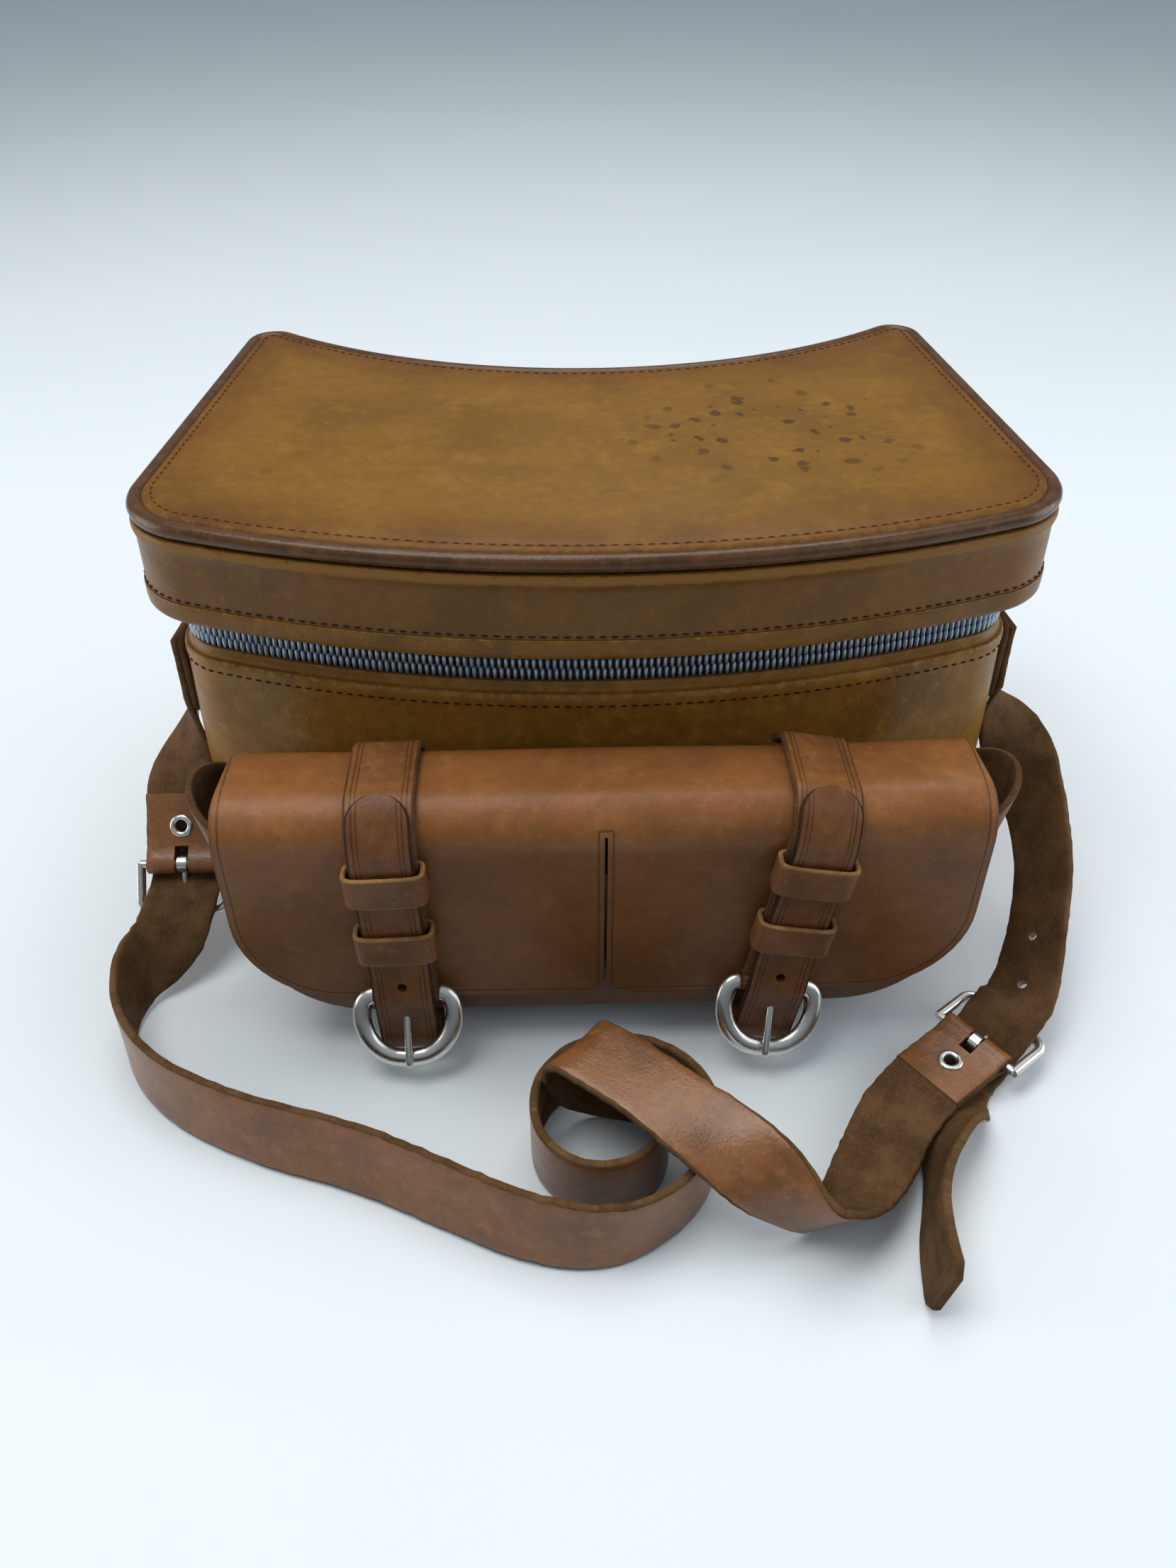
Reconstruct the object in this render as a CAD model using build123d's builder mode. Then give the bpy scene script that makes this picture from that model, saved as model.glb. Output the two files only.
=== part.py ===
from build123d import *
import math
import os

os.makedirs("parts", exist_ok=True)

# Case plan at the lid's edge, millimetres, front towards -Y
lid_front_half = 152.4
lid_back_half = 133.8
lid_depth = 150.0
front_bow = 33.0
back_bow = 55.0
front_corner_radius = 30.0
back_corner_radius = 11.0

# Case walls and heights
lid_overhang = 8.0
wall_thickness = 3.0
lining_thickness = 1.5
base_thickness = 3.0
body_height = 116.0
seat = 0.2

# Zip
tape_thickness = 1.0
tape_below = 12.0
zip_rise = 8.0
zip_half_width = 4.2
zip_pitch = 2.2
tooth_length = 1.3
tooth_depth = 3.0
row_gap = 0.3
zip_back_y = 90.0
zip_hollow_half = 112.0
zip_hollow_y = 15.0
stop_length = 1.8
stop_depth = 1.4
slider_y = 80.0
slider_length = 13.0
slider_height = 9.5
slider_plate = 1.2
slider_gap = 0.35
pull_bar_radius = 0.9
pull_bar_stand = 2.8
pull_eye_wall = 1.3
pull_length = 22.0
pull_width = 7.0
pull_thickness = 1.4
pull_eye_width = 3.0

# Lid
lid_rise = 19.0
band_height = 28.6
band_thickness = 2.8
binding_height = 6.5
binding_proud = 0.6
piping_radius = 3.1
lid_board_thickness = 4.4
lid_top_thickness = 5.8
lid_flange = 1.2

# Front pouch
pouch_leather = 2.6
pouch_depth = 43.7
pouch_gap = 0.3
pouch_low = 13.5
pouch_half = 116.0
pouch_corner = 36.0
pouch_front_high = 76.0
flap_half = 121.0
flap_top = 102.5
flap_bend = 15.0
flap_low = 24.0
flap_corner = 34.0
flap_hinge_back = 18.7
slit_top = 86.0
slit_width = 2.0
slit_corner = 9.0
gusset_high = 91.0
gusset_bulge = 14.0
gusset_bulge_low = 3.0
gusset_thickness = 2.4
strip_rise = 2.0
fit_gap = 0.3

# Pocket straps, buckles and keepers
strap_x_left = 68.5
strap_x_right = 65.5
strap_lean_left = 2.0
strap_lean_right = 9.5
strap_width = 22.0
strap_leather = 2.8
billet_width = 20.0
billet_leather = 2.5
billet_tip_turn = 71.0
billet_hole_radius = 1.6
billet_hole_first = -49.5
billet_hole_step = 12.5
billet_holes = 2
keeper_leather = 1.6
keeper_gap = 0.35
keeper_height = 12.0
keeper_upper = -6.5
keeper_lower = -32.0
bar_drop = 57.5
bar_radius = 1.6
loop_gap = 0.25
loop_wall = 1.8
frame_rod = 2.4
frame_half = 15.5
frame_side = 7.0
frame_tilt = 32.0
prong_radius = 1.1
prong_slot = 5.0
prong_eye_width = 3.4
prong_eye_wall = 1.5

# Shoulder strap
sling_width = 25.4
sling_leather = 2.8
tab_length = 27.0
tab_height = 32.0
tab_leather = 2.4
tab_y = -12.5
tab_drop = 2.0
rivet_radius = 3.6
rivet_height = 1.0
rivet_spread = 6.5
rivet_drop = 9.0
sling_bar_radius = 1.6
sling_rod = 1.75
sling_frame_half = 15.6
sling_frame_length = 17.0
chape_length = 26.0
chape_half = 1.8
eyelet_spot = 14.0
eyelet_radius = 4.2
eyelet_bore = 2.2
eyelet_rim = 0.7
eyelet_wall = 0.8

# Levels that follow the body's height
zip_centre = body_height + zip_rise
band_low = body_height + lid_rise
band_high = band_low + band_height
tab_top = body_height - tab_drop
rivet_level = tab_top - rivet_drop
strap_head = tab_top - 2.0
strap_neck = strap_head - 16.0

# Shoulder strap routes: each row is a point, then the direction of the strap's width
left_heel = Vector(-153.0, -53.7, 34.0)
left_run = Vector(0.0, -0.62, -0.785).normalized()
left_width = Vector(-1.0, 0.0, 0.0)
right_heel = Vector(126.0, -126.2, 10.2)
right_run = Vector(0.8, 0.6, 0.0)
right_width = Vector(0.6, -0.8, 0.0)
short_route = [
    (-145.52, -12.5, strap_head, 0.11, 0.994, 0.0),
    (-145.52, -12.5, strap_neck, 0.11, 0.994, 0.0),
    (-146.27, -12.5, strap_neck - 14.0, 0.11, 0.994, 0.0),
    (-155.0, -18.0, 70.0, -0.6, 0.75, 0.0),
    (-153.7, -36.9, 55.3, -1.0, 0.0, 0.0),
]
long_route = [
    (-153.0, -39.1, 42.8, -1.0, 0.0, 0.0),
    (-153.0, -48.3, 27.2, -1.0, 0.0, 0.0),
    (-153.0, -69.0, 25.7, -1.0, 0.0, 0.1),
    (-157.0, -77.0, 17.0, -0.8, 0.2, 0.6),
    (-168.0, -92.0, 13.8, -0.2, 0.0, 1.0),
    (-165.0, -116.0, 13.2, 0.0, 0.1, 1.0),
    (-147.0, -139.0, 13.1, 0.0, 0.2, 1.0),
    (-114.0, -156.0, 13.0, 0.0, 0.3, 1.0),
    (-80.0, -166.0, 12.9, 0.0, 0.35, 1.0),
    (-50.0, -181.0, 12.9, 0.0, 0.35, 1.0),
    (-26.0, -193.0, 13.0, 0.0, 0.3, 1.0),
    (-3.0, -197.5, 13.1, 0.0, 0.15, 1.0),
    (17.0, -190.0, 13.1, 0.0, 0.0, 1.0),
    (31.0, -174.0, 13.1, 0.0, 0.0, 1.0),
    (34.0, -152.0, 13.1, 0.0, 0.0, 1.0),
    (18.0, -132.5, 13.1, 0.0, 0.0, 1.0),
    (-8.0, -131.0, 13.1, 0.0, 0.0, 1.0),
    (-24.0, -146.0, 13.1, 0.0, 0.0, 1.0),
    (-24.0, -168.0, 13.1, 0.0, 0.0, 1.0),
    (-9.0, -181.0, 13.1, 0.0, 0.0, 1.0),
    (9.0, -178.0, 13.1, 0.0, 0.0, 1.0),
    (19.0, -163.0, 13.1, 0.0, 0.0, 1.0),
    (13.0, -147.5, 13.1, 0.0, 0.0, 1.0),
    (-1.0, -143.5, 13.3, 0.2, 0.1, 1.0),
    (-9.5, -143.5, 22.0, 0.7, 0.5, 0.5),
    (-12.0, -141.5, 35.5, 0.75, 0.65, 0.0),
    (2.0, -150.0, 34.5, 0.7, 0.7, 0.0),
    (22.0, -168.0, 33.5, 0.7, 0.7, 0.05),
    (42.0, -185.0, 29.5, 0.45, 0.5, 0.5),
    (62.0, -197.0, 14.5, -0.2, -0.3, 0.9),
    (77.0, -186.5, 13.9, 0.1, -0.6, 0.75),
    (84.5, -169.0, 12.3, 0.6, -0.65, 0.35),
    (92.1, -151.6, 10.6, 0.65, -0.75, 0.05),
    (104.3, -142.5, 10.2, 0.6, -0.8, 0.0),
]
billet_route = [
    (145.52, -12.5, strap_head, 0.11, -0.994, 0.0),
    (145.52, -12.5, strap_neck, 0.11, -0.994, 0.0),
    (146.87, -12.5, strap_neck - 16.0, 0.11, -0.994, 0.0),
    (155.0, -24.0, 68.0, -0.5, -0.7, -0.3),
    (164.0, -46.0, 50.0, -0.8, -0.1, -0.3),
    (165.0, -70.0, 36.0, -0.9, 0.2, -0.3),
    (159.0, -94.0, 23.0, -0.85, 0.45, -0.15),
    (149.0, -109.5, 15.4, -0.65, 0.75, 0.0),
    (138.0, -117.4, 15.6, -0.6, 0.8, 0.0),
    (126.5, -126.0, 2.0, -0.6, 0.8, 0.0),
    (115.0, -137.0, 1.8, -0.7, 0.72, 0.0),
    (112.0, -150.0, 4.2, -0.85, 0.4, -0.1),
    (106.5, -166.0, 12.4, -0.4, 0.1, -0.9),
    (98.5, -182.0, 13.5, -0.1, 0.0, -1.0),
    (93.0, -199.0, 13.3, -0.12, 0.0, -1.0),
    (92.5, -217.0, 13.3, -0.2, 0.0, -1.0),
]
route_steps = 4

# Levels and places worked out from the sizes above
front_y = -lid_depth / 2
back_y = lid_depth / 2
front_corner_y = front_y + front_bow
back_corner_y = back_y + back_bow
inner_wall = lid_overhang + wall_thickness
tape_inset = inner_wall + seat
zip_inset = tape_inset + tape_thickness / 2
tape_low_top = zip_centre - zip_half_width
tape_high_low = zip_centre + zip_half_width
flange_low = band_low + seat
band_inner = binding_proud + band_thickness
board_low = band_high - lid_board_thickness
piping_centre = band_high + seat + piping_radius
side_turn = math.atan2(lid_front_half - lid_back_half, back_corner_y - front_corner_y)


def keep(part, name):
    part.label = name
    export_step(part, f"parts/{name}.step")


def case_outline(inset):
    front_left = (-lid_front_half, front_corner_y)
    front_right = (lid_front_half, front_corner_y)
    back_right = (lid_back_half, back_corner_y)
    back_left = (-lid_back_half, back_corner_y)
    with BuildSketch() as plan:
        with BuildLine():
            ThreePointArc(front_left, (0, front_y), front_right)
            Line(front_right, back_right)
            ThreePointArc(back_right, (0, back_y), back_left)
            Line(back_left, front_left)
        make_face()
        fillet(plan.vertices().group_by(Axis.Y)[0], radius=front_corner_radius)
        fillet(plan.vertices().group_by(Axis.Y)[-1], radius=back_corner_radius)
        if inset > 0:
            offset(amount=-inset)
    return plan.sketch


def back_region(start_y):
    # The rear corners and the hollow back, where a leather hinge takes the zip's place
    reach = 2 * lid_front_half + lid_depth
    rear = Pos(0, start_y + reach / 2) * Rectangle(reach, reach)
    hollow = Pos(0, zip_hollow_y + reach / 2) * Rectangle(2 * zip_hollow_half, reach)
    return rear + hollow


def ring_face(outer_inset, inner_inset, stretch="all"):
    outer = case_outline(outer_inset)
    inner = case_outline(inner_inset)
    rear = back_region(zip_back_y + (seat if stretch == "back" else 0))
    with BuildSketch() as ring:
        add(outer)
        add(inner, mode=Mode.SUBTRACT)
        if stretch == "zip":
            add(rear, mode=Mode.SUBTRACT)
        if stretch == "back":
            add(rear, mode=Mode.INTERSECT)
    return ring.sketch


def side_plane(y, inset, z):
    # Plane on the case's right side: local X runs to the back, local Z points outwards
    share = (y - front_corner_y) / (back_corner_y - front_corner_y)
    edge_x = lid_front_half + (lid_back_half - lid_front_half) * share
    x = edge_x - inset / math.cos(side_turn)
    along = (-math.sin(side_turn), math.cos(side_turn), 0)
    outward = (math.cos(side_turn), math.sin(side_turn), 0)
    return Plane(origin=(x, y, z), x_dir=along, z_dir=outward)


# Case body
body_wall_face = ring_face(lid_overhang, inner_wall)
with BuildPart() as body_wall:
    with BuildSketch():
        add(body_wall_face)
    extrude(amount=body_height)
keep(body_wall.part, "body_wall")

base_face = case_outline(inner_wall + seat)
with BuildPart() as body_base:
    with BuildSketch():
        add(base_face)
    extrude(amount=base_thickness)
keep(body_base.part, "body_base")

lining_face = ring_face(inner_wall + seat, inner_wall + seat + lining_thickness)
with BuildPart() as body_lining:
    with BuildSketch(Plane.XY.offset(base_thickness + seat)):
        add(lining_face)
    extrude(amount=body_height - tape_below - base_thickness - 2 * seat)
keep(body_lining.part, "body_lining")

# Zip tapes, sewn inside the body's lip and under the lid's band
tape_face = ring_face(tape_inset, tape_inset + tape_thickness, "zip")
with BuildPart() as zip_tape_lower:
    with BuildSketch(Plane.XY.offset(body_height - tape_below)):
        add(tape_face)
    extrude(amount=tape_low_top - body_height + tape_below)
keep(zip_tape_lower.part, "zip_tape_lower")

flange_face = ring_face(band_inner + seat, tape_inset + tape_thickness, "zip")
with BuildPart() as zip_tape_upper:
    with BuildSketch(Plane.XY.offset(tape_high_low)):
        add(tape_face)
    extrude(amount=flange_low - tape_high_low)
    with BuildSketch(Plane.XY.offset(flange_low)):
        add(flange_face)
    extrude(amount=lid_flange)
keep(zip_tape_upper.part, "zip_tape_upper")


def zip_row(low, high, stagger):
    path = case_outline(zip_inset).wire()
    count = int(path.length / zip_pitch)
    spots = []
    for i in range(count):
        distance = (i + stagger) * zip_pitch
        point = path.position_at(distance, PositionMode.LENGTH)
        along = path.tangent_at(distance, PositionMode.LENGTH)
        in_hollow = abs(point.X) < zip_hollow_half and point.Y > zip_hollow_y
        if point.Y < zip_back_y - tooth_length and not in_hollow:
            spots.append(Plane(origin=(point.X, point.Y, low), x_dir=along, z_dir=(0, 0, 1)))
    with BuildPart() as row:
        with Locations(*spots):
            Box(tooth_length, tooth_depth, high - low, align=(Align.CENTER, Align.CENTER, Align.MIN))
    print("zip row", len(spots), "teeth")
    return row.part


keep(zip_row(tape_low_top, zip_centre - row_gap / 2, 0.0), "zip_teeth_lower")
keep(zip_row(zip_centre + row_gap / 2, tape_high_low, 0.5), "zip_teeth_upper")

# Stops that close the zip's two ends
stop_plane = side_plane(zip_back_y + seat + stop_length / 2, zip_inset, tape_low_top)
stop_height = zip_centre - row_gap / 2 - tape_low_top
with BuildPart() as zip_end_stops:
    with BuildSketch(stop_plane):
        Rectangle(stop_length, stop_height, align=(Align.CENTER, Align.MIN))
    extrude(amount=stop_depth / 2, both=True)
    mirror(about=Plane.YZ)
keep(zip_end_stops.part, "zip_end_stops")

# Slider on the right side run, with its pull on a small bar
slider_inset = zip_inset - tooth_depth / 2 - slider_gap
slider_plane = side_plane(slider_y, slider_inset, zip_centre)
bar_stand = slider_plate + pull_bar_stand
post_spot = slider_length / 2 - 2.5
with BuildPart() as zip_slider:
    with BuildSketch(slider_plane):
        RectangleRounded(slider_length, slider_height, 2.0)
    extrude(amount=slider_plate)
    with Locations(slider_plane.offset(slider_plate)):
        with Locations((-post_spot, 0), (post_spot, 0)):
            Box(
                1.4,
                2 * pull_bar_radius + 1.0,
                pull_bar_stand + pull_bar_radius,
                align=(Align.CENTER, Align.CENTER, Align.MIN),
            )
    with Locations(slider_plane.offset(bar_stand)):
        Cylinder(pull_bar_radius, 2 * post_spot, rotation=(0, 90, 0))
keep(zip_slider.part, "zip_slider")

pull_plane = slider_plane.offset(bar_stand)
pull_section = Plane(origin=pull_plane.origin, x_dir=pull_plane.z_dir, z_dir=pull_plane.x_dir)
pull_eye = pull_bar_radius + loop_gap + pull_eye_wall
with BuildPart() as zip_pull:
    with BuildSketch(pull_section):
        Circle(pull_eye)
        Circle(pull_bar_radius + loop_gap, mode=Mode.SUBTRACT)
    extrude(amount=pull_eye_width / 2, both=True)
    with Locations(pull_plane):
        with Locations((0, -pull_eye + 0.6, 0)):
            Box(
                pull_width,
                pull_length,
                pull_thickness,
                align=(Align.CENTER, Align.MAX, Align.CENTER),
            )
keep(zip_pull.part, "zip_pull")

# Leather hinge along the back, from the body's wall to the lid
hinge_wall_face = ring_face(lid_overhang + seat, inner_wall - seat, "back")
hinge_flange_face = ring_face(band_inner + seat, inner_wall - seat, "back")
with BuildPart() as hinge_leather:
    with BuildSketch(Plane.XY.offset(body_height + seat)):
        add(hinge_wall_face)
    extrude(amount=flange_low - body_height - seat)
    with BuildSketch(Plane.XY.offset(flange_low)):
        add(hinge_flange_face)
    extrude(amount=lid_flange)
keep(hinge_leather.part, "hinge_leather")

# Lid
band_face = ring_face(binding_proud, band_inner)
with BuildPart() as lid_band:
    with BuildSketch(Plane.XY.offset(band_low)):
        add(band_face)
    extrude(amount=band_high - band_low)
keep(lid_band.part, "lid_band")

binding_face = ring_face(0, binding_proud)
with BuildPart() as lid_binding:
    with BuildSketch(Plane.XY.offset(band_low)):
        add(binding_face)
    extrude(amount=binding_height)
keep(lid_binding.part, "lid_binding")

lid_lining_face = ring_face(band_inner + seat, band_inner + seat + lining_thickness)
lid_lining_low = flange_low + lid_flange + seat
with BuildPart() as lid_lining:
    with BuildSketch(Plane.XY.offset(lid_lining_low)):
        add(lid_lining_face)
    extrude(amount=board_low - seat - lid_lining_low)
keep(lid_lining.part, "lid_lining")

board_face = case_outline(band_inner + seat)
with BuildPart() as lid_board:
    with BuildSketch(Plane.XY.offset(board_low)):
        add(board_face)
    extrude(amount=lid_board_thickness)
keep(lid_board.part, "lid_board")

top_face = case_outline(2 * piping_radius + seat)
with BuildPart() as lid_top:
    with BuildSketch(Plane.XY.offset(band_high + seat)):
        add(top_face)
    extrude(amount=lid_top_thickness)
    fillet(lid_top.faces().sort_by(Axis.Z)[-1].edges(), radius=1.2)
keep(lid_top.part, "lid_top")

piping_path = Pos(0, 0, piping_centre) * case_outline(piping_radius).wire()
with BuildPart() as lid_piping:
    with BuildSketch(Plane(origin=piping_path @ 0, z_dir=piping_path % 0)):
        Circle(piping_radius)
    sweep(path=piping_path)
keep(lid_piping.part, "lid_piping")
lid_reach = case_outline(0).bounding_box()
print("lid hinge line y", round(lid_reach.max.Y, 3))
print("slider pull bar", pull_plane.origin, "along", pull_plane.x_dir)

# Front pouch: a straight pouch that touches the bowed case at its middle
pouch_back_y = front_y + lid_overhang - pouch_gap
pouch_front_y = pouch_back_y - pouch_depth
spring = flap_top - flap_bend
panel_front_y = pouch_front_y + pouch_leather + fit_gap
flap_hinge_y = pouch_back_y - flap_hinge_back


def pouch_outline(inset, high):
    with BuildSketch() as outline:
        with Locations((0, pouch_low + inset)):
            Rectangle(
                2 * (pouch_half - inset),
                high - pouch_low - inset,
                align=(Align.CENTER, Align.MIN),
            )
        fillet(outline.vertices().group_by(Axis.Y)[0], radius=pouch_corner - inset)
    return outline.sketch


back_outline = pouch_outline(0, spring)
with BuildPart() as pocket_back:
    with BuildSketch(Plane.XZ.offset(-pouch_back_y)):
        add(back_outline)
    extrude(amount=pouch_leather)
keep(pocket_back.part, "pocket_back")

front_outline = pouch_outline(0, pouch_front_high)
with BuildPart() as pocket_front:
    with BuildSketch(Plane.XZ.offset(-panel_front_y)):
        add(front_outline)
    extrude(amount=-pouch_leather)
keep(pocket_front.part, "pocket_front")

strip_high = pouch_low + pouch_corner + strip_rise
strip_back_y = pouch_back_y - pouch_leather
strip_front_y = panel_front_y + pouch_leather
strip_outer = pouch_outline(0, strip_high)
strip_inner = pouch_outline(gusset_thickness, strip_high)
with BuildPart() as pocket_bottom:
    with BuildSketch(Plane.XZ.offset(-strip_back_y)):
        add(strip_outer)
        add(strip_inner, mode=Mode.SUBTRACT)
    extrude(amount=strip_back_y - strip_front_y)
keep(pocket_bottom.part, "pocket_bottom")


def gusset_section(side, z, bulge, squeeze):
    # C-shaped band between the back and front panels, bulging outwards
    near = strip_back_y - squeeze
    far = strip_front_y + squeeze
    middle = (near + far) / 2
    outer_x = side * pouch_half
    inner_x = side * (pouch_half - gusset_thickness)
    top_x = side * (pouch_half + bulge)
    deep_x = side * (pouch_half + bulge - gusset_thickness)
    with BuildSketch(Plane.XY.offset(z)) as section:
        with BuildLine():
            ThreePointArc((outer_x, near), (top_x, middle), (outer_x, far))
            Line((outer_x, far), (inner_x, far))
            ThreePointArc((inner_x, far), (deep_x, middle), (inner_x, near))
            Line((inner_x, near), (outer_x, near))
        make_face()
    return section.sketch


for side, name in ((-1, "pocket_gusset_left"), (1, "pocket_gusset_right")):
    low_section = gusset_section(side, strip_high + fit_gap, gusset_bulge_low, fit_gap)
    high_section = gusset_section(side, gusset_high, gusset_bulge, 3.2)
    with BuildPart() as gusset:
        add(low_section)
        add(high_section)
        loft(ruled=True)
    keep(gusset.part, name)

# Flap: from the back panel over the top and down the front, in a fixed root and a swinging front
with BuildPart() as flap_blank:
    with BuildSketch(Plane.YZ):
        with BuildLine():
            back_centre = (pouch_back_y - flap_bend, spring)
            front_centre = (pouch_front_y + flap_bend, spring)
            inner_bend = flap_bend - pouch_leather
            Line((pouch_back_y - pouch_leather, spring), (pouch_back_y, spring))
            CenterArc(back_centre, flap_bend, 0, 90)
            Line((back_centre[0], flap_top), (front_centre[0], flap_top))
            CenterArc(front_centre, flap_bend, 90, 90)
            Line((pouch_front_y, spring), (pouch_front_y, flap_low))
            Line((pouch_front_y, flap_low), (pouch_front_y + pouch_leather, flap_low))
            Line((pouch_front_y + pouch_leather, flap_low), (pouch_front_y + pouch_leather, spring))
            CenterArc(front_centre, inner_bend, 180, -90)
            Line((front_centre[0], flap_top - pouch_leather), (back_centre[0], flap_top - pouch_leather))
            CenterArc(back_centre, inner_bend, 90, -90)
        make_face()
    extrude(amount=flap_half, both=True)
    outer_corners = flap_blank.edges().filter_by(Axis.Y).group_by(Axis.Z)[0]
    fillet(outer_corners, radius=flap_corner)
    with BuildSketch(Plane.XZ.offset(-pouch_front_y)):
        with Locations((0, flap_low)):
            Rectangle(slit_width, slit_top - flap_low, align=(Align.CENTER, Align.MIN))
    extrude(amount=-2 * pouch_leather, mode=Mode.SUBTRACT)
    slit_edges = flap_blank.edges().filter_by(Axis.Y).group_by(Axis.Z)[0]
    fillet(slit_edges.filter_by_position(Axis.X, -slit_width, slit_width), radius=slit_corner)

flap_split = Plane(origin=(0, flap_hinge_y, 0), x_dir=(1, 0, 0), z_dir=(0, -1, 0))
with BuildPart() as pocket_flap:
    add(flap_blank.part)
    split(bisect_by=flap_split.offset(fit_gap / 2), keep=Keep.TOP)
keep(pocket_flap.part, "pocket_flap")

with BuildPart() as pocket_flap_root:
    add(flap_blank.part)
    split(bisect_by=flap_split.offset(-fit_gap / 2), keep=Keep.BOTTOM)
keep(pocket_flap_root.part, "pocket_flap_root")


def lean_plane(side):
    # Section plane of a pocket strap: local X is the case's Y, local Y runs up the leaning strap
    lean = math.radians(strap_lean_left if side < 0 else strap_lean_right)
    return Plane(
        origin=(-strap_x_left if side < 0 else strap_x_right, 0, spring),
        x_dir=(0, 1, 0),
        z_dir=(math.cos(lean), 0, -side * math.sin(lean)),
    )


strap_space = keeper_leather + 2 * keeper_gap
strap_y = pouch_front_y - strap_space - strap_leather / 2
strap_bend = flap_bend + seat + strap_leather / 2
strap_centre_y = strap_y + strap_bend
billet_bend = strap_bend + strap_leather / 2 + fit_gap + billet_leather / 2
billet_y = strap_centre_y - billet_bend
loop_radius = bar_radius + loop_gap + loop_wall
bar_h = -bar_drop
billet_over_bar = strap_y - loop_radius - fit_gap - billet_leather / 2 - 0.3
lean_angle = math.radians(max(strap_lean_left, strap_lean_right))
pouch_under = (pouch_low - spring - fit_gap) / math.cos(lean_angle)
pouch_under -= billet_leather / 2 + billet_width / 2 * math.tan(lean_angle)
back_bend_y = pouch_back_y - flap_bend


def buckle_plane(side):
    # Plane of a pocket buckle: local X along its bar, local Y up, tilted so that its foot stands forward
    plane = lean_plane(side)
    tilt = math.radians(frame_tilt)
    up = plane.y_dir * math.cos(tilt) + Vector(0, 1, 0) * math.sin(tilt)
    origin = plane.from_local_coords((strap_y, bar_h, 0))
    return Plane(origin=origin, x_dir=plane.z_dir, z_dir=plane.z_dir.cross(up))


def prong_ends(side):
    # The prong runs from its eye to the front of the frame's foot
    plane = buckle_plane(side)
    foot = frame_side + frame_half
    start = plane.from_local_coords((0, -bar_radius - loop_gap, bar_radius))
    tip = plane.from_local_coords((0, -foot - 1.5, frame_rod + prong_radius + 0.5))
    return start, tip


def flap_strap(side):
    plane = lean_plane(side)
    with BuildPart() as strap:
        with BuildSketch(plane):
            with BuildLine():
                CenterArc((back_bend_y, 0), strap_bend, 35, 55)
                Line((back_bend_y, strap_bend), (strap_centre_y, strap_bend))
                CenterArc((strap_centre_y, 0), strap_bend, 90, 90)
                Line((strap_y, 0), (strap_y, bar_h + loop_radius - 1.0))
            trace(line_width=strap_leather)
            with Locations((strap_y, bar_h)):
                Circle(loop_radius)
                Circle(bar_radius + loop_gap, mode=Mode.SUBTRACT)
        extrude(amount=strap_width / 2, both=True)
        with Locations(plane):
            with Locations((strap_y, bar_h + 1.0, 0)):
                Box(3 * loop_radius, 2 * loop_radius + 2.0, prong_slot, mode=Mode.SUBTRACT)
        add(flap_blank.part, mode=Mode.SUBTRACT)
    return strap.part


def billet(side):
    plane = lean_plane(side)
    start, tip = prong_ends(side)
    with BuildPart() as strap:
        with BuildSketch(plane):
            with BuildLine():
                FilletPolyline(
                    (back_bend_y, pouch_under),
                    (pouch_front_y + 8.0, pouch_under),
                    (pouch_front_y - 3.0, pouch_under - 1.5),
                    (billet_over_bar, pouch_under - 0.5),
                    (billet_over_bar, bar_h + loop_radius + 0.5),
                    (billet_y, bar_h + loop_radius + 7.5),
                    (billet_y, 0),
                    radius=3.0,
                )
                CenterArc((strap_centre_y, 0), billet_bend, 180, -billet_tip_turn)
            trace(line_width=billet_leather)
        extrude(amount=billet_width / 2, both=True)
        short_edges = strap.edges().filter_by(lambda e: abs(e.length - billet_leather) < 0.01)
        fillet(short_edges.sort_by(Axis.Z)[-2:], radius=0.4 * billet_width)
        hole_plane = Plane(origin=plane.from_local_coords((billet_y, 0, 0)), x_dir=plane.z_dir, z_dir=(0, -1, 0))
        with Locations(hole_plane):
            for i in range(billet_holes):
                with Locations((0, billet_hole_first + i * billet_hole_step)):
                    Cylinder(billet_hole_radius, 6 * billet_leather, mode=Mode.SUBTRACT)
        prong_line = Plane(origin=start, z_dir=tip - start)
        with Locations(prong_line):
            Cylinder(
                prong_radius + 2 * fit_gap,
                (tip - start).length,
                align=(Align.CENTER, Align.CENTER, Align.MIN),
                mode=Mode.SUBTRACT,
            )
    return strap.part


def keeper(side, height):
    plane = lean_plane(side)
    back = strap_y + strap_leather / 2 + keeper_gap
    front = billet_y - billet_leather / 2 - keeper_gap
    middle = plane.from_local_coords(((back + front) / 2, height, 0))
    depth = back - front
    width = strap_width + 2 * keeper_gap
    with BuildPart() as loop:
        with BuildSketch(Plane(origin=middle, x_dir=plane.z_dir, z_dir=plane.y_dir)):
            RectangleRounded(width + 2 * keeper_leather, depth + 2 * keeper_leather, keeper_leather)
            Rectangle(width, depth, mode=Mode.SUBTRACT)
        extrude(amount=keeper_height / 2, both=True)
    return loop.part


def pocket_buckle(side):
    plane = buckle_plane(side)
    with BuildPart() as frame:
        with BuildLine(plane) as path:
            Line((-frame_half, 0.5), (-frame_half, -frame_side))
            ThreePointArc(
                (-frame_half, -frame_side),
                (0, -frame_side - frame_half),
                (frame_half, -frame_side),
            )
            Line((frame_half, -frame_side), (frame_half, 0.5))
        with BuildSketch(Plane(origin=path.line @ 0, z_dir=path.line % 0)):
            Circle(frame_rod)
        sweep(path=path.line)
        with Locations(plane):
            Cylinder(bar_radius, 2 * frame_half, rotation=(0, 90, 0))
    return frame.part


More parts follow.
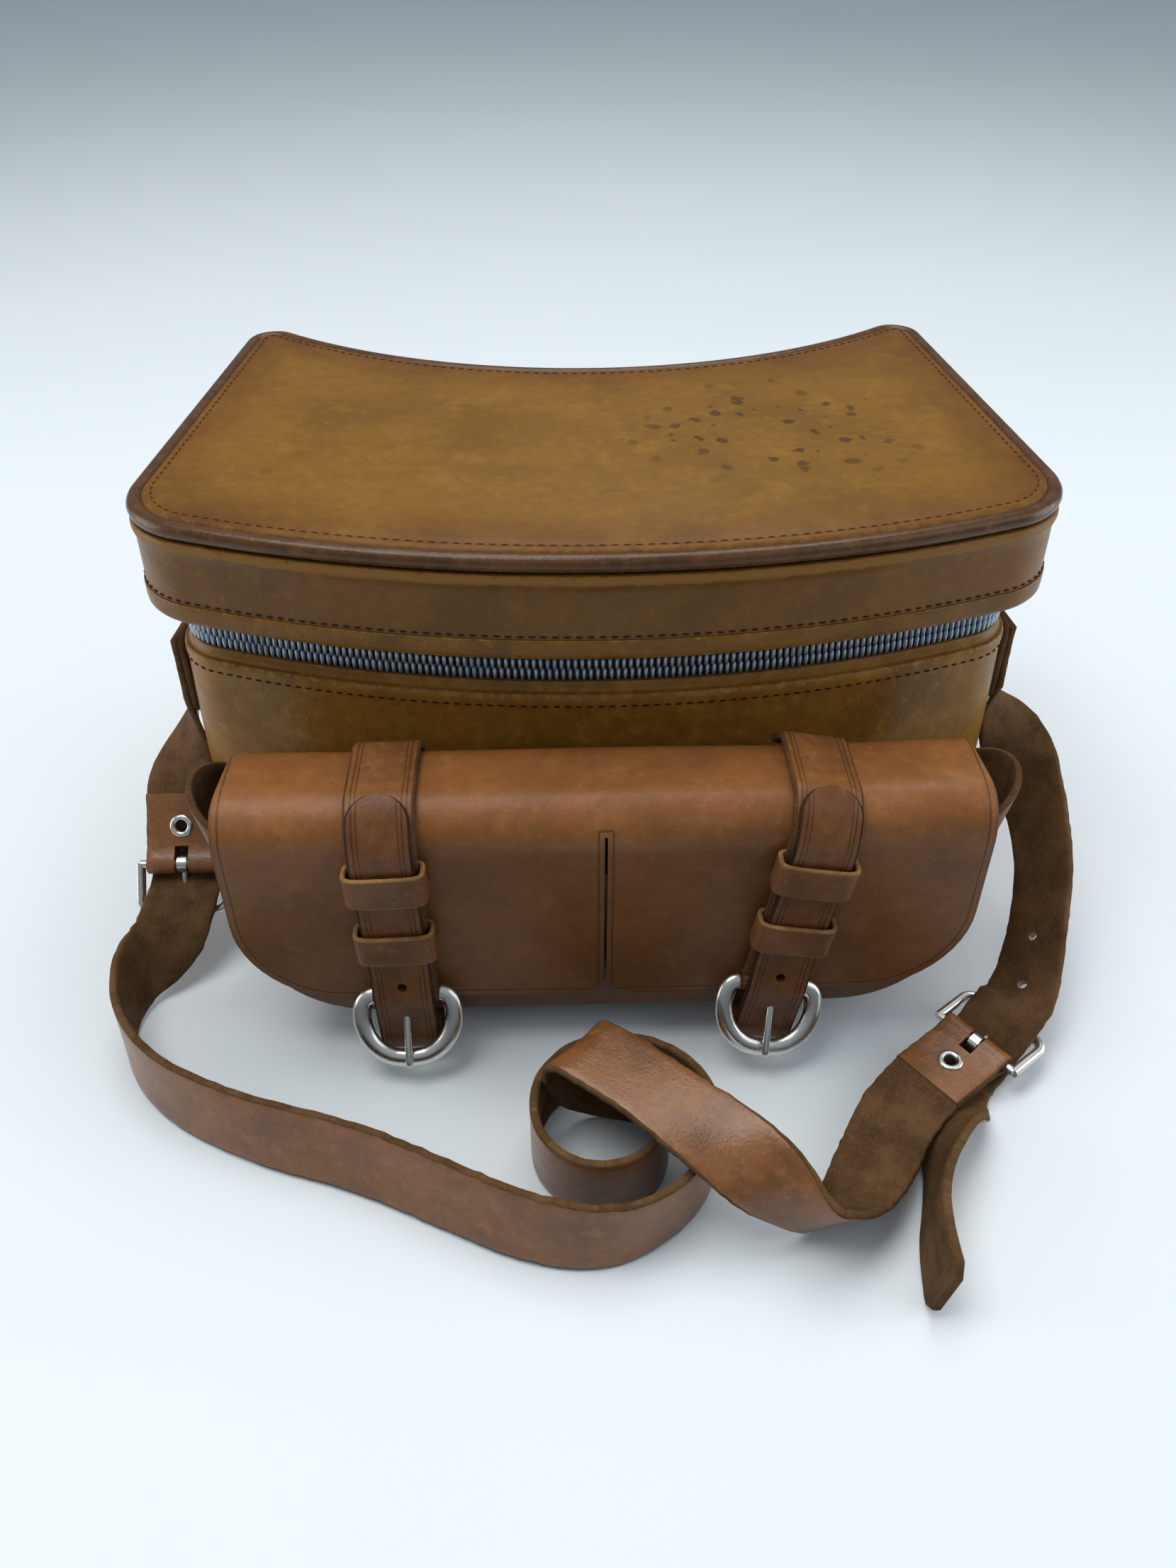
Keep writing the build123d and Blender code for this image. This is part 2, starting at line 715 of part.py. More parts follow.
def pocket_prong(side):
    plane = buckle_plane(side)
    start, tip = prong_ends(side)
    section = Plane(origin=plane.origin, x_dir=plane.y_dir, z_dir=plane.x_dir)
    with BuildPart() as prong:
        with BuildSketch(section):
            Circle(bar_radius + loop_gap + prong_eye_wall)
        extrude(amount=prong_eye_width / 2, both=True)
        with Locations(Plane(origin=start, z_dir=tip - start)):
            Cylinder(
                prong_radius,
                (tip - start).length,
                align=(Align.CENTER, Align.CENTER, Align.MIN),
            )
        with BuildSketch(section):
            Circle(bar_radius + loop_gap)
        extrude(amount=prong_eye_width, both=True, mode=Mode.SUBTRACT)
    return prong.part


for side, word in ((-1, "left"), (1, "right")):
    strap_blank = flap_strap(side)
    with BuildPart() as flap_strap_front:
        add(strap_blank)
        split(bisect_by=flap_split.offset(fit_gap / 2), keep=Keep.TOP)
    keep(flap_strap_front.part, f"flap_strap_{word}")
    with BuildPart() as flap_strap_root:
        add(strap_blank)
        split(bisect_by=flap_split.offset(-fit_gap / 2), keep=Keep.BOTTOM)
    keep(flap_strap_root.part, f"flap_strap_root_{word}")
    keep(billet(side), f"billet_{word}")
    keep(keeper(side, keeper_upper), f"keeper_upper_{word}")
    keep(keeper(side, keeper_lower), f"keeper_lower_{word}")
    keep(pocket_buckle(side), f"pocket_buckle_{word}")
    keep(pocket_prong(side), f"pocket_prong_{word}")
    print(word, "buckle bar", buckle_plane(side).origin, "along", buckle_plane(side).x_dir)

# Tabs and rivets where the shoulder strap is sewn to the case's sides
tab_plane = side_plane(tab_y, lid_overhang - seat, tab_top - tab_height / 2)
with BuildPart() as side_tab_right:
    with BuildSketch(tab_plane):
        RectangleRounded(tab_length, tab_height, 4.0)
    extrude(amount=tab_leather)
keep(side_tab_right.part, "side_tab_right")
side_tab_left = mirror(side_tab_right.part, about=Plane.YZ)
keep(side_tab_left, "side_tab_left")


def quadratic_route(rows):
    # Points of a clamped quadratic spline through hand-chosen control rows
    spans = len(rows) - 2
    knots = [0.0, 0.0] + [float(i) for i in range(spans + 1)] + [float(spans)] * 2
    points = []
    for step in range(spans * route_steps + 1):
        t = min(step / route_steps, spans - 1e-9)
        k = int(t) + 2
        rows_here = [rows[k - 2 + j] for j in range(3)]
        for level in (1, 2):
            for j in range(2, level - 1, -1):
                low = knots[k - 2 + j]
                high = knots[k + 1 + j - level]
                share = (t - low) / (high - low)
                pair = zip(rows_here[j - 1], rows_here[j])
                rows_here[j] = tuple(a + (b - a) * share for a, b in pair)
        points.append(rows_here[2])
    return points


def strap_sections(rows, width, thickness):
    points = quadratic_route(rows)
    places = [Vector(p[0], p[1], p[2]) for p in points]
    sections = []
    for i, place in enumerate(places):
        along = (places[min(i + 1, len(places) - 1)] - places[max(i - 1, 0)]).normalized()
        across = Vector(points[i][3], points[i][4], points[i][5])
        across = (across - along * across.dot(along)).normalized()
        up = along.cross(across) * (thickness / 2)
        wide = across * (width / 2)
        sections.append([place + wide + up, place - wide + up, place - wide - up, place + wide - up])
    return places, sections


def sling_plane(heel, run, width):
    # Section plane of a strap end: local X runs back along the strap, local Y to its grain side
    return Plane(origin=heel, x_dir=run * -1, z_dir=width)


def sling_prong_ends(plane):
    rise = sling_rod + prong_radius + 2 * fit_gap
    start = plane.from_local_coords((-bar_radius - loop_gap, prong_radius, 0))
    tip = plane.from_local_coords((-sling_frame_length - 3.0, rise, 0))
    return start, tip


def strap_ribbon(rows, name, prong_at=None):
    places, sections = strap_sections(rows, sling_width, sling_leather)
    faces = [Face(Wire.make_polygon(sections[0][::-1])), Face(Wire.make_polygon(sections[-1]))]
    for a, b in zip(sections, sections[1:]):
        for i in range(4):
            j = (i + 1) % 4
            faces.append(Face(Wire.make_polygon([a[i], a[j], b[j]])))
            faces.append(Face(Wire.make_polygon([a[i], b[j], b[i]])))
    with BuildPart() as ribbon:
        add(Solid(Shell(faces)))
        if prong_at:
            start, tip = sling_prong_ends(prong_at)
            hole = 2 * (prong_radius + fit_gap)
            with Locations(Plane(origin=start, x_dir=prong_at.z_dir, z_dir=tip - start)):
                Box(
                    hole,
                    hole,
                    (tip - start).length,
                    align=(Align.CENTER, Align.CENTER, Align.MIN),
                    mode=Mode.SUBTRACT,
                )
    length = sum((b - a).length for a, b in zip(places, places[1:]))
    lowest = min(corner.Z for section in sections for corner in section)
    print(name, "length", round(length, 1), "lowest", round(lowest, 2))
    keep(ribbon.part, name)


def strap_chape(plane):
    # Doubled strap end folded round the buckle's bar, with a slot for the prong
    loop = sling_bar_radius + loop_gap + loop_wall
    with BuildPart() as chape:
        with BuildSketch(plane):
            with Locations((loop - 1.0, 0)):
                Rectangle(chape_length - loop + 1.0, 2 * chape_half, align=(Align.MIN, Align.CENTER))
            Circle(loop)
            Circle(sling_bar_radius + loop_gap, mode=Mode.SUBTRACT)
        extrude(amount=sling_width / 2, both=True)
        with Locations(plane):
            Box(2 * loop + 5.0, 3 * loop, prong_slot, mode=Mode.SUBTRACT)
            with Locations((eyelet_spot, 0, 0)):
                Cylinder(
                    eyelet_bore + eyelet_wall + 0.1,
                    4 * chape_half,
                    rotation=(90, 0, 0),
                    mode=Mode.SUBTRACT,
                )
    return chape.part


def strap_eyelet(plane):
    rim_face = chape_half + 0.1
    with BuildPart() as eyelet:
        with Locations(plane):
            with Locations((eyelet_spot, 0, 0)):
                Cylinder(eyelet_bore + eyelet_wall, 2 * rim_face, rotation=(90, 0, 0))
                for way in (-1, 1):
                    with Locations((0, way * (rim_face + eyelet_rim / 2), 0)):
                        Cylinder(eyelet_radius, eyelet_rim, rotation=(90, 0, 0))
                Cylinder(eyelet_bore, 4 * chape_half, rotation=(90, 0, 0), mode=Mode.SUBTRACT)
    return eyelet.part


def strap_buckle(plane):
    flat = Plane(origin=plane.origin, x_dir=plane.x_dir, z_dir=plane.y_dir)
    with BuildPart() as frame:
        with BuildLine(flat) as path:
            FilletPolyline(
                (0.5, -sling_frame_half),
                (-sling_frame_length, -sling_frame_half),
                (-sling_frame_length, sling_frame_half),
                (0.5, sling_frame_half),
                radius=4.0,
            )
        with BuildSketch(Plane(origin=path.line @ 0, z_dir=path.line % 0)):
            Circle(sling_rod)
        sweep(path=path.line)
        with Locations(plane):
            Cylinder(sling_bar_radius, 2 * sling_frame_half)
    return frame.part


def strap_prong(plane):
    start, tip = sling_prong_ends(plane)
    with BuildPart() as prong:
        with BuildSketch(plane):
            Circle(sling_bar_radius + loop_gap + prong_eye_wall)
        extrude(amount=prong_eye_width / 2, both=True)
        with Locations(Plane(origin=start, z_dir=tip - start)):
            Cylinder(
                prong_radius,
                (tip - start).length,
                align=(Align.CENTER, Align.CENTER, Align.MIN),
            )
        with BuildSketch(plane):
            Circle(sling_bar_radius + loop_gap)
        extrude(amount=prong_eye_width, both=True, mode=Mode.SUBTRACT)
    return prong.part


left_plane = sling_plane(left_heel, left_run, left_width)
right_plane = sling_plane(right_heel, right_run, right_width)
strap_ribbon(short_route, "strap_left_short")
strap_ribbon(long_route, "strap_long", left_plane)
strap_ribbon(billet_route, "strap_billet_right", right_plane)
for plane, word in ((left_plane, "left"), (right_plane, "right")):
    keep(strap_chape(plane), f"strap_chape_{word}")
    keep(strap_eyelet(plane), f"strap_eyelet_{word}")
    keep(strap_buckle(plane), f"strap_buckle_{word}")
    keep(strap_prong(plane), f"strap_prong_{word}")

# Rivet heads that hold the strap's ends on the side tabs
rivet_inset = lid_overhang - 2 * seat - tab_leather - fit_gap - sling_leather
rivet_plane = side_plane(tab_y, rivet_inset, rivet_level)
with BuildPart() as rivets_right:
    with Locations(rivet_plane):
        with Locations((-rivet_spread, 0), (rivet_spread, 0)):
            Cylinder(rivet_radius, rivet_height, align=(Align.CENTER, Align.CENTER, Align.MIN))
keep(rivets_right.part, "rivets_right")
rivets_left = mirror(rivets_right.part, about=Plane.YZ)
keep(rivets_left, "rivets_left")
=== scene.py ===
"""Look of a tan leather contour camera bag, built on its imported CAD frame."""
import functools
import math

import bmesh
import bpy
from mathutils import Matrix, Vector, noise


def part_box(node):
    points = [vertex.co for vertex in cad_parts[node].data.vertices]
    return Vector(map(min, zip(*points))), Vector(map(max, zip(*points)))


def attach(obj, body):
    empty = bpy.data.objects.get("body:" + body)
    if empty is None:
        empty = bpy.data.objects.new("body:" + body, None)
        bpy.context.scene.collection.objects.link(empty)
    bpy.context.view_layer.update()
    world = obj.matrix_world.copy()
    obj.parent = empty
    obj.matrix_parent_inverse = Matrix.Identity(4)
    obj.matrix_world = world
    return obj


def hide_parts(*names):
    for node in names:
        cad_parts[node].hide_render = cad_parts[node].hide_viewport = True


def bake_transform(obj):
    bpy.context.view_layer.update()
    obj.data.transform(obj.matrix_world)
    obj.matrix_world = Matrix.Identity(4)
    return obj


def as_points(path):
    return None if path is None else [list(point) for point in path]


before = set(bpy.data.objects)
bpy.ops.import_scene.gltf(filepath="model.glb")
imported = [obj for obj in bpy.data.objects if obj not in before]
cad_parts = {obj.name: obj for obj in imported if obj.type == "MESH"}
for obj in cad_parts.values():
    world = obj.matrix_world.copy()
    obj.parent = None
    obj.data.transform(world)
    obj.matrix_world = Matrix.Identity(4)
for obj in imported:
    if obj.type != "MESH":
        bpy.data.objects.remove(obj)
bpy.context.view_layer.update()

bl_info = {
    "name": "Contour camera bag",
    "version": (1, 0, 0),
    "blender": (4, 5, 0),
    "location": "View3D > Sidebar > Bag",
    "description": "Builds a leather camera bag with a zip lid, a buckled front pouch and a shoulder strap",
    "category": "Object",
}

MM = 0.001
SIDES = ((-1, "left"), (1, "right"))


# Sizes and colours


class BagCaseSizes(bpy.types.PropertyGroup):
    """Plan of the case at the lid's edge."""

    front_half: bpy.props.FloatProperty(
        name="Front half width", description="Half width at the front corners", default=0.1524, unit="LENGTH"
    )
    back_half: bpy.props.FloatProperty(
        name="Back half width", description="Half width at the back corners", default=0.1338, unit="LENGTH"
    )
    depth: bpy.props.FloatProperty(
        name="Depth", description="Front to back on the middle line", default=0.150, unit="LENGTH"
    )
    front_bow: bpy.props.FloatProperty(
        name="Front bow", description="How far the front bows out", default=0.033, unit="LENGTH"
    )
    back_bow: bpy.props.FloatProperty(
        name="Back hollow", description="How far the back bows in", default=0.055, unit="LENGTH"
    )
    front_corner: bpy.props.FloatProperty(
        name="Front corner", description="Radius of the front corners", default=0.030, unit="LENGTH"
    )
    back_corner: bpy.props.FloatProperty(
        name="Back corner", description="Radius of the back corners", default=0.011, unit="LENGTH"
    )


class BagPouchSizes(bpy.types.PropertyGroup):
    """Front pouch, its flap and its two straps."""

    half: bpy.props.FloatProperty(
        name="Half width", description="Half width of the pouch", default=0.116, unit="LENGTH"
    )
    corner: bpy.props.FloatProperty(
        name="Lower corner", description="Radius of the pouch's lower corners", default=0.036, unit="LENGTH"
    )
    low: bpy.props.FloatProperty(
        name="Lower edge", description="Height of the pouch's lower edge", default=0.0135, unit="LENGTH"
    )
    flap_half: bpy.props.FloatProperty(
        name="Flap half width", description="Half width of the flap", default=0.121, unit="LENGTH"
    )
    flap_low: bpy.props.FloatProperty(
        name="Flap edge", description="Height of the flap's lower edge", default=0.024, unit="LENGTH"
    )
    flap_corner: bpy.props.FloatProperty(
        name="Flap corner", description="Radius of the flap's outer corners", default=0.034, unit="LENGTH"
    )
    slit_corner: bpy.props.FloatProperty(
        name="Slit corner", description="Radius of the corners at the slit", default=0.009, unit="LENGTH"
    )
    place_left: bpy.props.FloatProperty(
        name="Left place", description="Distance of the left strap from the middle", default=0.0685,
        unit="LENGTH"
    )
    place_right: bpy.props.FloatProperty(
        name="Right place", description="Distance of the right strap from the middle", default=0.0655,
        unit="LENGTH"
    )
    lean_left: bpy.props.FloatProperty(
        name="Left lean", description="Lean of the left strap", default=math.radians(2.0), subtype="ANGLE"
    )
    lean_right: bpy.props.FloatProperty(
        name="Right lean", description="Lean of the right strap", default=math.radians(9.5), subtype="ANGLE"
    )


class BagSewingSizes(bpy.types.PropertyGroup):
    """Zip teeth and stitches."""

    tooth_pitch: bpy.props.FloatProperty(
        name="Tooth pitch", description="Distance between zip teeth", default=0.0022, unit="LENGTH"
    )
    tooth_size: bpy.props.FloatVectorProperty(
        name="Tooth", description="Length, height and depth of a tooth", size=3,
        default=(0.00165, 0.0052, 0.0032),
    )
    stitch_pitch: bpy.props.FloatProperty(
        name="Stitch pitch", description="Distance between stitches", default=0.0036, unit="LENGTH"
    )
    stitch_size: bpy.props.FloatVectorProperty(
        name="Stitch", description="Length, width and height of a stitch", size=3,
        default=(0.0024, 0.0006, 0.0006),
    )


class BagColours(bpy.types.PropertyGroup):
    """Leather tones."""

    case_tone: bpy.props.FloatVectorProperty(
        name="Case", description="Tan of the case", default=(0.196, 0.092, 0.0105), subtype="COLOR", size=3
    )
    pouch_tone: bpy.props.FloatVectorProperty(
        name="Pouch", description="Brown of the pouch", default=(0.180, 0.072, 0.022), subtype="COLOR", size=3
    )
    strap_tone: bpy.props.FloatVectorProperty(
        name="Strap", description="Brown of the straps' grain side", default=(0.215, 0.084, 0.024),
        subtype="COLOR", size=3
    )
    flesh_tone: bpy.props.FloatVectorProperty(
        name="Flesh", description="Rough side of the straps", default=(0.105, 0.055, 0.022),
        subtype="COLOR", size=3
    )
    piping_tone: bpy.props.FloatVectorProperty(
        name="Piping", description="Dark roll round the lid", default=(0.094, 0.040, 0.012),
        subtype="COLOR", size=3
    )


# Meshes


# Filled by make_materials
MATERIALS = {}


def mesh_object(name, verts, faces, uvs=None, materials=(), slots=None, wear_and_highlight=None, edges=()):
    """A smooth mesh object in the shared frame, with one UV and one value of wear and painted highlight for
    each vertex.
    """
    mesh = bpy.data.meshes.new(name)
    mesh.from_pydata([tuple(v) for v in verts], list(edges), faces)
    for key in materials:
        mesh.materials.append(MATERIALS[key])
    if slots:
        mesh.polygons.foreach_set("material_index", slots)
    if faces:
        mesh.polygons.foreach_set("use_smooth", [True] * len(mesh.polygons))
    if uvs:
        layer = mesh.uv_layers.new(name="UVMap")
        for loop in mesh.loops:
            layer.data[loop.index].uv = uvs[loop.vertex_index]
    if wear_and_highlight:
        mesh.attributes.new("wear_and_highlight", "FLOAT", "POINT").data.foreach_set("value", wear_and_highlight)
    mesh.update()
    obj = bpy.data.objects.new(name, mesh)
    bpy.context.scene.collection.objects.link(obj)
    return obj


def grid_faces(rows, columns, wrap_rows=False, wrap_columns=False, flip=False):
    """Quads between neighbouring rows of points, each row as long as columns."""
    faces = []
    for r in range(rows if wrap_rows else rows - 1):
        here, above = r * columns, (r + 1) % rows * columns
        for c in range(columns if wrap_columns else columns - 1):
            d = (c + 1) % columns
            quad = (here + c, here + d, above + d, above + c)
            faces.append(quad[:1] + quad[:0:-1] if flip else quad)
    return faces


def run_lengths(points):
    """Length travelled from the first point to each point."""
    lengths = [0.0]
    for a, b in zip(points, points[1:]):
        lengths.append(lengths[-1] + (b - a).length)
    return lengths


def settle_mesh(obj):
    """Turns an object's modifiers into its mesh."""
    graph = bpy.context.evaluated_depsgraph_get()
    shown = obj.evaluated_get(graph)
    mesh = bpy.data.meshes.new_from_object(shown, preserve_all_data_layers=True, depsgraph=graph)
    obj.modifiers.clear()
    old, obj.data = obj.data, mesh
    bpy.data.meshes.remove(old)
    mesh.name = obj.name
    return obj


def soften(obj, width):
    """Adds rounded edges where faces meet at a clear angle."""
    edge = obj.modifiers.new("rounded edge", "BEVEL")
    edge.width = width
    edge.segments = 2
    edge.limit_method = "ANGLE"
    edge.angle_limit = math.radians(50)
    edge.harden_normals = False


def thicken(obj, thickness, bevel):
    """Gives a sheet its leather thickness: second material inside, third on its rounded cut edges."""
    solid = obj.modifiers.new("thickness", "SOLIDIFY")
    solid.thickness = thickness
    solid.offset = 0.0
    solid.use_even_offset = True
    solid.material_offset = 1
    solid.material_offset_rim = 2
    soften(obj, bevel)
    return sharpen(settle_mesh(obj), 60)


def cut(obj, tool):
    """Takes the tool's volume out of the object and removes the tool."""
    modifier = obj.modifiers.new("cut", "BOOLEAN")
    modifier.operation = "DIFFERENCE"
    modifier.solver = "EXACT"
    modifier.object = tool
    settle_mesh(obj)
    mesh = tool.data
    bpy.data.objects.remove(tool)
    bpy.data.meshes.remove(mesh)


def join_parts(name, parts):
    """One mesh object from several, keeping UVs, the values of wear and painted highlight, and materials."""
    bpy.ops.object.select_all(action="DESELECT")
    for part in parts:
        part.select_set(True)
    bpy.context.view_layer.objects.active = parts[0]
    bpy.ops.object.join()
    parts[0].name = parts[0].data.name = name
    parts[0].select_set(False)
    return parts[0]


def sharpen(obj, degrees):
    """Keeps clear edges crisp under smooth shading."""
    obj.data.set_sharp_from_angle(angle=math.radians(degrees))
    return obj


def face_outwards(obj):
    """Joins points that coincide and turns all faces outwards."""
    bm = bmesh.new()
    bm.from_mesh(obj.data)
    bmesh.ops.remove_doubles(bm, verts=bm.verts, dist=1e-6)
    bmesh.ops.recalc_face_normals(bm, faces=bm.faces)
    bm.to_mesh(obj.data)
    bm.free()
    return obj


def place(obj, body, slot, *nodes):
    """The piece moves with a body and stands for CAD nodes, which it hides; slot is not used."""
    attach(obj, body)
    if nodes:
        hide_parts(*nodes)


def dress(key, *nodes):
    """Gives CAD nodes a material."""
    for node in nodes:
        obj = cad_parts[node]
        if not obj.material_slots:
            obj.data.materials.append(MATERIALS[key])
        for slot in obj.material_slots:
            slot.material = MATERIALS[key]


def bow_radius(half, bow):
    """Radius of an arc from its half width and its rise."""
    return (half**2 + bow**2) / (2 * bow)


def arc(centre, radius, start, end, facing=1.0, step=0.0028):
    """Points on a plan arc with their outward directions."""
    count = max(4, math.ceil(abs(end - start) * radius / step))
    points = []
    for i in range(count + 1):
        angle = start + (end - start) * i / count
        out = Vector((math.cos(angle), math.sin(angle)))
        points.append((centre + out * radius, out * facing))
    return points


def case_outline():
    """Plan points round the lid's edge, anticlockwise from the front's middle, with outward directions."""
    s = bpy.context.scene.bag_case
    front = Vector((s.front_half, s.front_bow - s.depth / 2))
    back = Vector((s.back_half, s.back_bow + s.depth / 2))
    front_radius, back_radius = bow_radius(s.front_half, s.front_bow), bow_radius(s.back_half, s.back_bow)
    front_centre = Vector((0.0, front_radius - s.depth / 2))
    back_centre = Vector((0.0, back_radius + s.depth / 2))
    side = (back - front).normalized()
    out = Vector((side.y, -side.x))

    def corner_centre(corner, radius, centre, reach):
        start = corner - out * radius
        away = start - centre
        half = away.dot(side)
        return start + side * (-half - math.sqrt(half * half - away.dot(away) + reach * reach))

    near = corner_centre(front, s.front_corner, front_centre, front_radius - s.front_corner)
    far = corner_centre(back, s.back_corner, back_centre, back_radius + s.back_corner)

    def turn(v):
        return math.atan2(v.y, v.x)

    half = arc(front_centre, front_radius, -math.pi / 2, turn(near - front_centre))
    half += arc(near, s.front_corner, turn(near - front_centre), turn(out), step=0.002)
    start, end = near + out * s.front_corner, far + out * s.back_corner
    half += [(start.lerp(end, i / 16), out.copy()) for i in range(1, 16)]
    half += arc(far, s.back_corner, turn(out), turn(back_centre - far), step=0.0014)
    half += arc(back_centre, back_radius, turn(far - back_centre), -math.pi / 2, facing=-1.0)
    kept = [half[0]]
    for point in half[1:]:
        if (point[0] - kept[-1][0]).length > 1e-5:
            kept.append(point)
    mirrored = [(Vector((-p.x, p.y)), Vector((-n.x, n.y))) for p, n in reversed(kept[1:-1])]
    return kept + mirrored


def at_inset(point, inset, height):
    """Point of the outline moved inwards and set at a height, both in millimetres."""
    p, n = point
    inset, height = inset * MM, height * MM
    return Vector((p.x - n.x * inset, p.y - n.y * inset, height))


def band_shell(name, rim, rows, material, loop=True):
    """A wall along the rim: rows of inset and height in millimetres and an amount of wear and painted
    highlight, up outside and down inside.
    """
    count, levels = len(rim), len(rows)
    lengths = run_lengths([point for point, _ in rim])
    verts = [at_inset(point, inset, height) for inset, height, _ in rows for point in rim]
    wear_and_highlight = [worn_and_lit for _, _, worn_and_lit in rows for _ in rim]
    uvs = []
    for rise in run_lengths([Vector((inset, height)) for inset, height, _ in rows]):
        uvs += [(length, rise * MM) for length in lengths]
    faces = grid_faces(levels, count, True, loop)
    if not loop:
        faces.append(tuple(level * count for level in range(levels)))
        faces.append(tuple(level * count + count - 1 for level in reversed(range(levels))))
    return mesh_object(name, verts, faces, uvs, (material,), wear_and_highlight=wear_and_highlight)


def spline_points(rows):
    """Points read from a smooth spline with these control points."""
    data = bpy.data.curves.new("route", "CURVE")
    data.dimensions = "3D"
    data.resolution_u = 10
    spline = data.splines.new("NURBS")
    spline.points.add(len(rows) - 1)
    for point, row in zip(spline.points, rows):
        point.co = (row[0], row[1], row[2], 1.0)
    spline.order_u = 3
    spline.use_endpoint_u = True
    obj = bpy.data.objects.new("route", data)
    bpy.context.scene.collection.objects.link(obj)
    graph = bpy.context.evaluated_depsgraph_get()
    mesh = bpy.data.meshes.new_from_object(obj.evaluated_get(graph), depsgraph=graph)
    points = [v.co.copy() for v in mesh.vertices]
    bpy.data.meshes.remove(mesh)
    bpy.data.objects.remove(obj)
    bpy.data.curves.remove(data)
    return points


def directions(points, loop=False):
    """Unit direction of travel at each point."""
    last = len(points) - 1
    out = []
    for i in range(len(points)):
        a = points[i - 1] if loop or i else points[0]
        b = points[(i + 1) % len(points)] if loop or i < last else points[last]
        out.append((b - a).normalized())
    return out


def grain_towards(points, i, wide, out, loop=False):
    """A strap's width direction, turned so that its grain side faces out at point i."""
    return wide if directions(points, loop)[i].cross(wide).dot(out) > 0 else -wide


# Share of a strap's thickness that its rounded edges take
EDGE_SHARE = 0.32


def ribbon(name, points, across, width, thickness, materials, loop=False, tip=0.0, ragged=0.0):
    """A leather strap; its grain faces along travel x across. Materials are grain, flesh and cut edges."""
    half_t = thickness / 2
    soft = thickness * EDGE_SHARE
    nick = soft * 0.3
    travel, lengths = directions(points, loop), run_lengths(points)
    shares = (-1.0, -0.8, -0.4, 0.0, 0.4, 0.8, 1.0)
    verts, uvs = [], []
    for i, point in enumerate(points):
        wide = across[i] if isinstance(across, list) else across
        wide = (wide - travel[i] * wide.dot(travel[i])).normalized()
        up = travel[i].cross(wide)
        half = width / 2
        left = lengths[-1] - lengths[i]
        if tip and left < tip:
            half -= tip * (1.0 - math.sqrt(max(0.0, 1.0 - min(1.0 - left / tip, 0.995) ** 2)))
        rag = [ragged * noise.noise(point * 420 + Vector((k * 7.7, 0, 0))) for k in range(2)]
        low, high = -half - rag[0], half + rag[1]
        flat = half - soft
        rows = [(low + soft + (s + 1) * 0.5 * (high - low - 2 * soft), half_t) for s in shares]
        rows += [(high - nick, half_t - nick), (high, half_t - soft), (high, soft - half_t)]
        rows += [(high - nick, nick - half_t)]
        rows += [(s * flat, -half_t) for s in reversed(shares)]
        rows += [(low + nick, nick - half_t), (low, soft - half_t), (low, half_t - soft)]
        rows += [(low + nick, half_t - nick)]
        for a, b in rows:
            verts.append(point + wide * a + up * b)
            uvs.append((lengths[i], a))
    section, broad = len(rows), len(shares) - 1
    faces = grid_faces(len(points), section, loop, True, flip=True)
    edge = len(materials) - 1
    ring = [0] * broad + [edge] * (section // 2 - broad) + [1] * broad + [edge] * (section // 2 - broad)
    slots = ring * (len(faces) // section)
    if not loop:
        faces.append(tuple(range(section)))
        faces.append(tuple((len(points) - 1) * section + k for k in reversed(range(section))))
        slots += [1, 1]
    return mesh_object(name, verts, faces, uvs, materials, slots)


def tube(name, points, normal, wide, deep, material):
    """A rod with an oval section, wide across normal and deep along it, with round ends."""
    sides = 16
    travel = directions(points)
    rings = [(p, t, 1.0) for p, t in zip(points, travel)]
    for k in (0.55, 0.85, 0.98):
        size = math.sqrt(1 - k * k)
        rings.insert(0, (points[0] - travel[0] * deep * k, travel[0], size))
        rings.append((points[-1] + travel[-1] * deep * k, travel[-1], size))
    verts = []
    for p, t, size in rings:
        n = (normal - t * normal.dot(t)).normalized()
        b = t.cross(n)
        for k in range(sides):
            a = 2 * math.pi * k / sides
            verts.append(p + (b * math.cos(a) * wide + n * math.sin(a) * deep) * size)
    faces = grid_faces(len(rings), sides, False, True)
    faces.append(tuple(reversed(range(sides))))
    faces.append(tuple((len(rings) - 1) * sides + k for k in range(sides)))
    return mesh_object(name, verts, faces, None, (material,))


def turned(name, centre, axis, profile, materials, sides):
    """A round piece about an axis; profile rows are radius and height in millimetres."""
    side = axis.orthogonal().normalized()
    other = axis.cross(side)
    verts = []
    for k in range(sides):
        a = 2 * math.pi * k / sides
        out = side * math.cos(a) + other * math.sin(a)
        verts += [centre + out * (r * MM) + axis * (h * MM) for r, h in profile]
    faces = grid_faces(sides, len(profile), True, True, flip=True)
    return face_outwards(mesh_object(name, verts, faces, None, materials))


def slab(name, outline, normal, thickness, materials, bevel):
    """A flat leather piece: outline points are its outer face's edge, normal points out of that face."""
    count = len(outline)
    verts = list(outline) + [p - normal * thickness for p in outline]
    area = Vector((0.0, 0.0, 0.0))
    for a, b in zip(outline, outline[1:] + outline[:1]):
        area += a.cross(b)
    order = list(range(count)) if area.dot(normal) > 0 else list(reversed(range(count)))
    faces = [tuple(order), tuple(count + i for i in reversed(order))]
    faces += [(b, a, count + a, count + b) for a, b in zip(order, order[1:] + order[:1])]
    uvs = [(v.x, v.z) for v in verts]
    obj = mesh_object(name, verts, faces, uvs, materials, [0, 0] + [1] * count)
    soften(obj, bevel)
    return sharpen(settle_mesh(obj), 60)


def peg(centre, axis, radius, length):
    """A round cutter, its radius and length in millimetres."""
    profile = [(0.0, 0.0), (radius, 0.0), (radius, length), (0.0, length)]
    return turned("hole", centre - axis * (length * MM / 2), axis, profile, (), 20)


